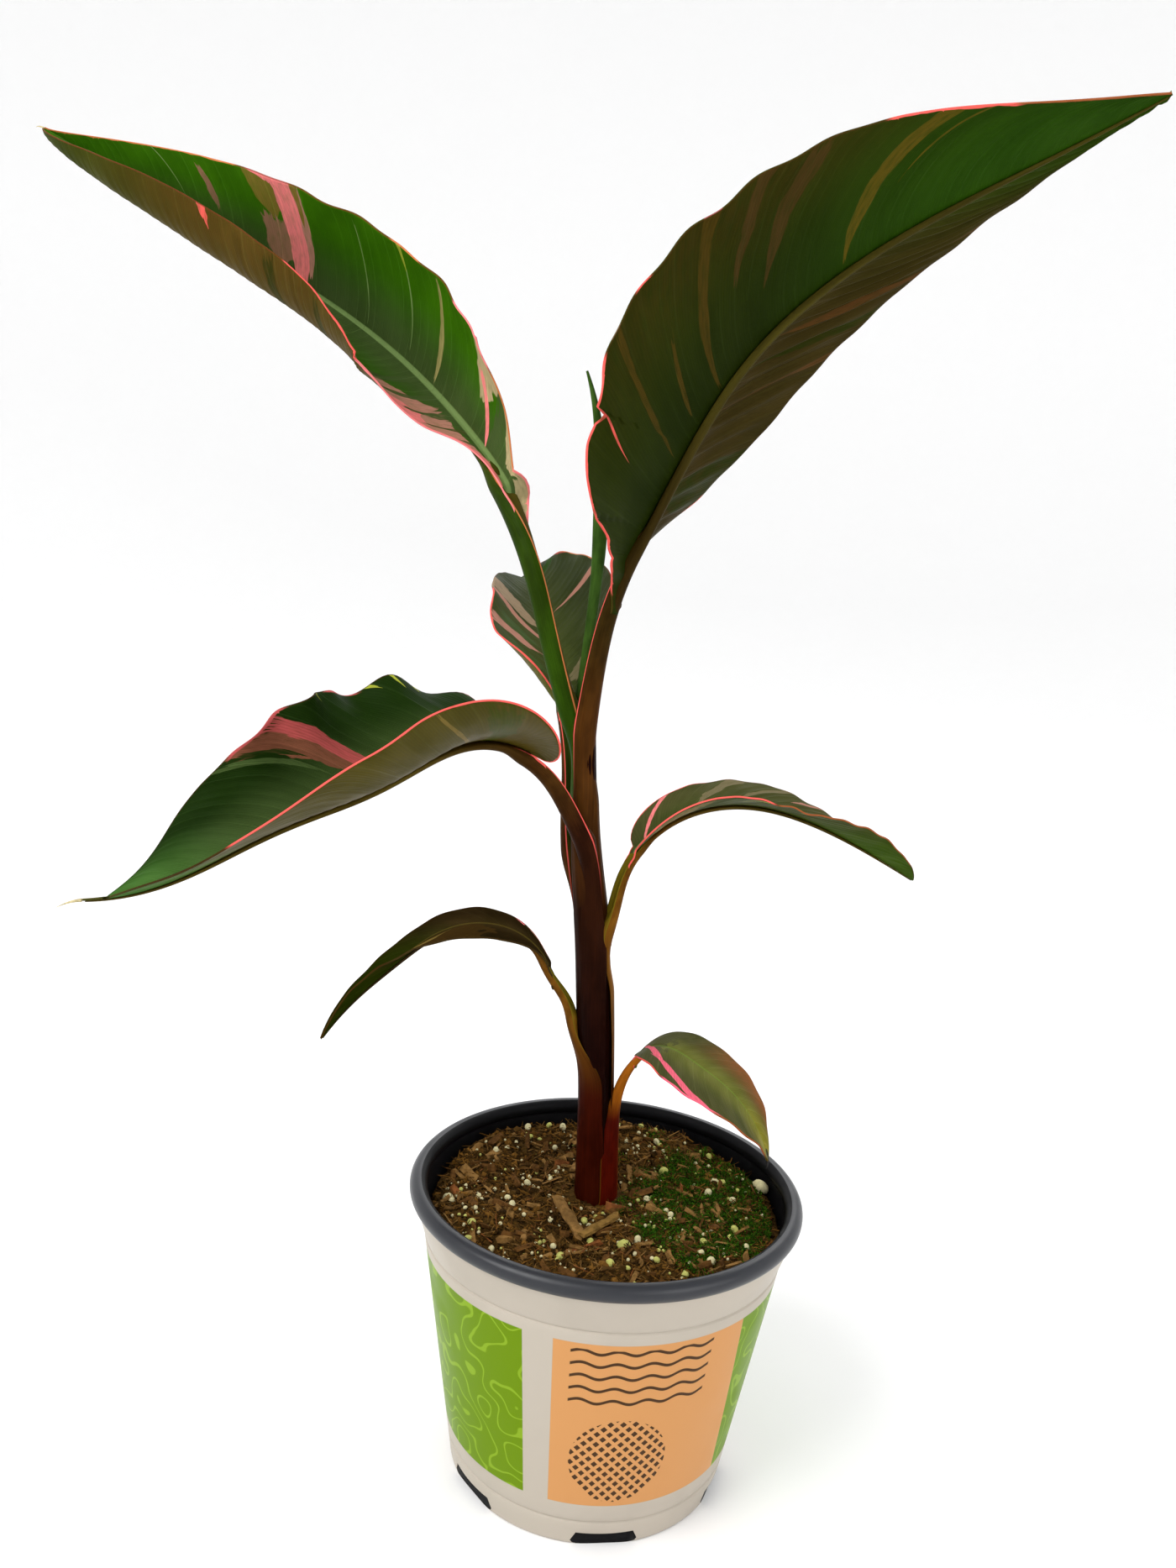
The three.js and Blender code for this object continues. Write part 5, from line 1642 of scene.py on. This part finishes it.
def floor_piece(shade):
    """A round floor that curves up into a wall behind the plant and all round it."""
    section = [(r, 0.0) for r in (0.05, 0.3, 1.0, 2.2)]
    section += [(2.2 + 1.3 * math.sin(a), 1.3 - 1.3 * math.cos(a)) for a in np.linspace(0.1, math.pi / 2, 16)]
    section += [(3.5, 2.4), (3.5, 3.4)]
    columns = 128
    rings = np.stack([circle(r, around(columns), z) for r, z in section])
    points = np.vstack([rings.reshape(-1, 3), [[0, 0, 0]]]) / MM
    faces = grid_faces(len(section), columns).tolist()
    faces += fan_faces(0, columns, len(section) * columns, True).tolist()
    material, web = new_material("floor_paper")
    grain = web.noise(web.place(), 40.0, 3.0)
    close_material(web, web.mix(web.step(grain, 0.3, 0.7, 0.0, 0.3), shade, tinted(shade, 0.98)), 0.9)
    return add_piece("floor", points, faces, [material])


class PLANT_OT_stage(bpy.types.Operator):
    """Makes the floor, the lights and the camera"""

    bl_idname = "plant.stage"
    bl_label = "Stage"

    def execute(self, context):
        settings = context.scene.plant_stage
        scene = context.scene
        right, up, forward = camera_axes()
        lens = bpy.data.cameras.new("camera")
        lens.sensor_width = SENSOR
        lens.lens = FOCAL_PIXELS * SENSOR / PHOTO_HEIGHT
        lens.clip_start = 0.01
        lens.clip_end = 50
        turn = Matrix((right, up, -forward)).transposed().to_4x4()
        scene.camera = add_object("camera", lens, Matrix.Translation(Vector(CAMERA_PLACE) * MM) @ turn)
        floor_piece(settings.floor)
        world = bpy.data.worlds.new("studio")
        world.use_nodes = True
        sky = world.node_tree.nodes["Background"].inputs
        sky["Color"].default_value = (1, 1, 1, 1)
        sky["Strength"].default_value = settings.sky
        scene.world = world
        for name, place, size, power in (
            ("key_light", (-1.3, -1.1, 1.9), 1.4, settings.key_power),
            ("fill_light", (1.6, -1.4, 1.2), 1.6, settings.fill_power),
            ("back_light", (0.2, 1.6, 1.9), 1.6, settings.fill_power),
        ):
            lamp = bpy.data.lights.new(name, "AREA")
            lamp.shape = "DISK"
            lamp.size = size
            lamp.energy = power
            aim = (Vector((0, 0, 0.3)) - Vector(place)).to_track_quat("-Z", "Y").to_matrix().to_4x4()
            add_object(name, lamp, Matrix.Translation(Vector(place)) @ aim)
        scene.view_settings.view_transform = "Standard"
        return {"FINISHED"}


OPERATORS = (
    PLANT_OT_pot, PLANT_OT_soil, PLANT_OT_stem, PLANT_OT_stalks, PLANT_OT_blades, PLANT_OT_spear,
    PLANT_OT_stage,
)


class PLANT_PT_panel(bpy.types.Panel):
    """Lists the steps that build the plant"""

    bl_idname = "PLANT_PT_panel"
    bl_label = "Banana plant"
    bl_space_type = "VIEW_3D"
    bl_region_type = "UI"
    bl_category = "Banana Plant"

    def draw(self, context):
        for operator in OPERATORS:
            self.layout.operator(operator.bl_idname)


SETTINGS = {
    "plant_pot": PlantPotSettings,
    "plant_soil": PlantSoilSettings,
    "plant_leaves": PlantLeafSettings,
    "plant_paints": PlantPaintSettings,
    "plant_stage": PlantStageSettings,
}
CLASSES = (*SETTINGS.values(), *OPERATORS, PLANT_PT_panel)


def register():
    for kind in CLASSES:
        bpy.utils.register_class(kind)
    for name, kind in SETTINGS.items():
        setattr(bpy.types.Scene, name, bpy.props.PointerProperty(type=kind))


def unregister():
    for name in SETTINGS:
        delattr(bpy.types.Scene, name)
    for kind in reversed(CLASSES):
        bpy.utils.unregister_class(kind)


def main():
    register()
    for operator in OPERATORS:
        section, name = operator.bl_idname.split(".")
        getattr(getattr(bpy.ops, section), name)()


if __name__ == "__main__":
    main()
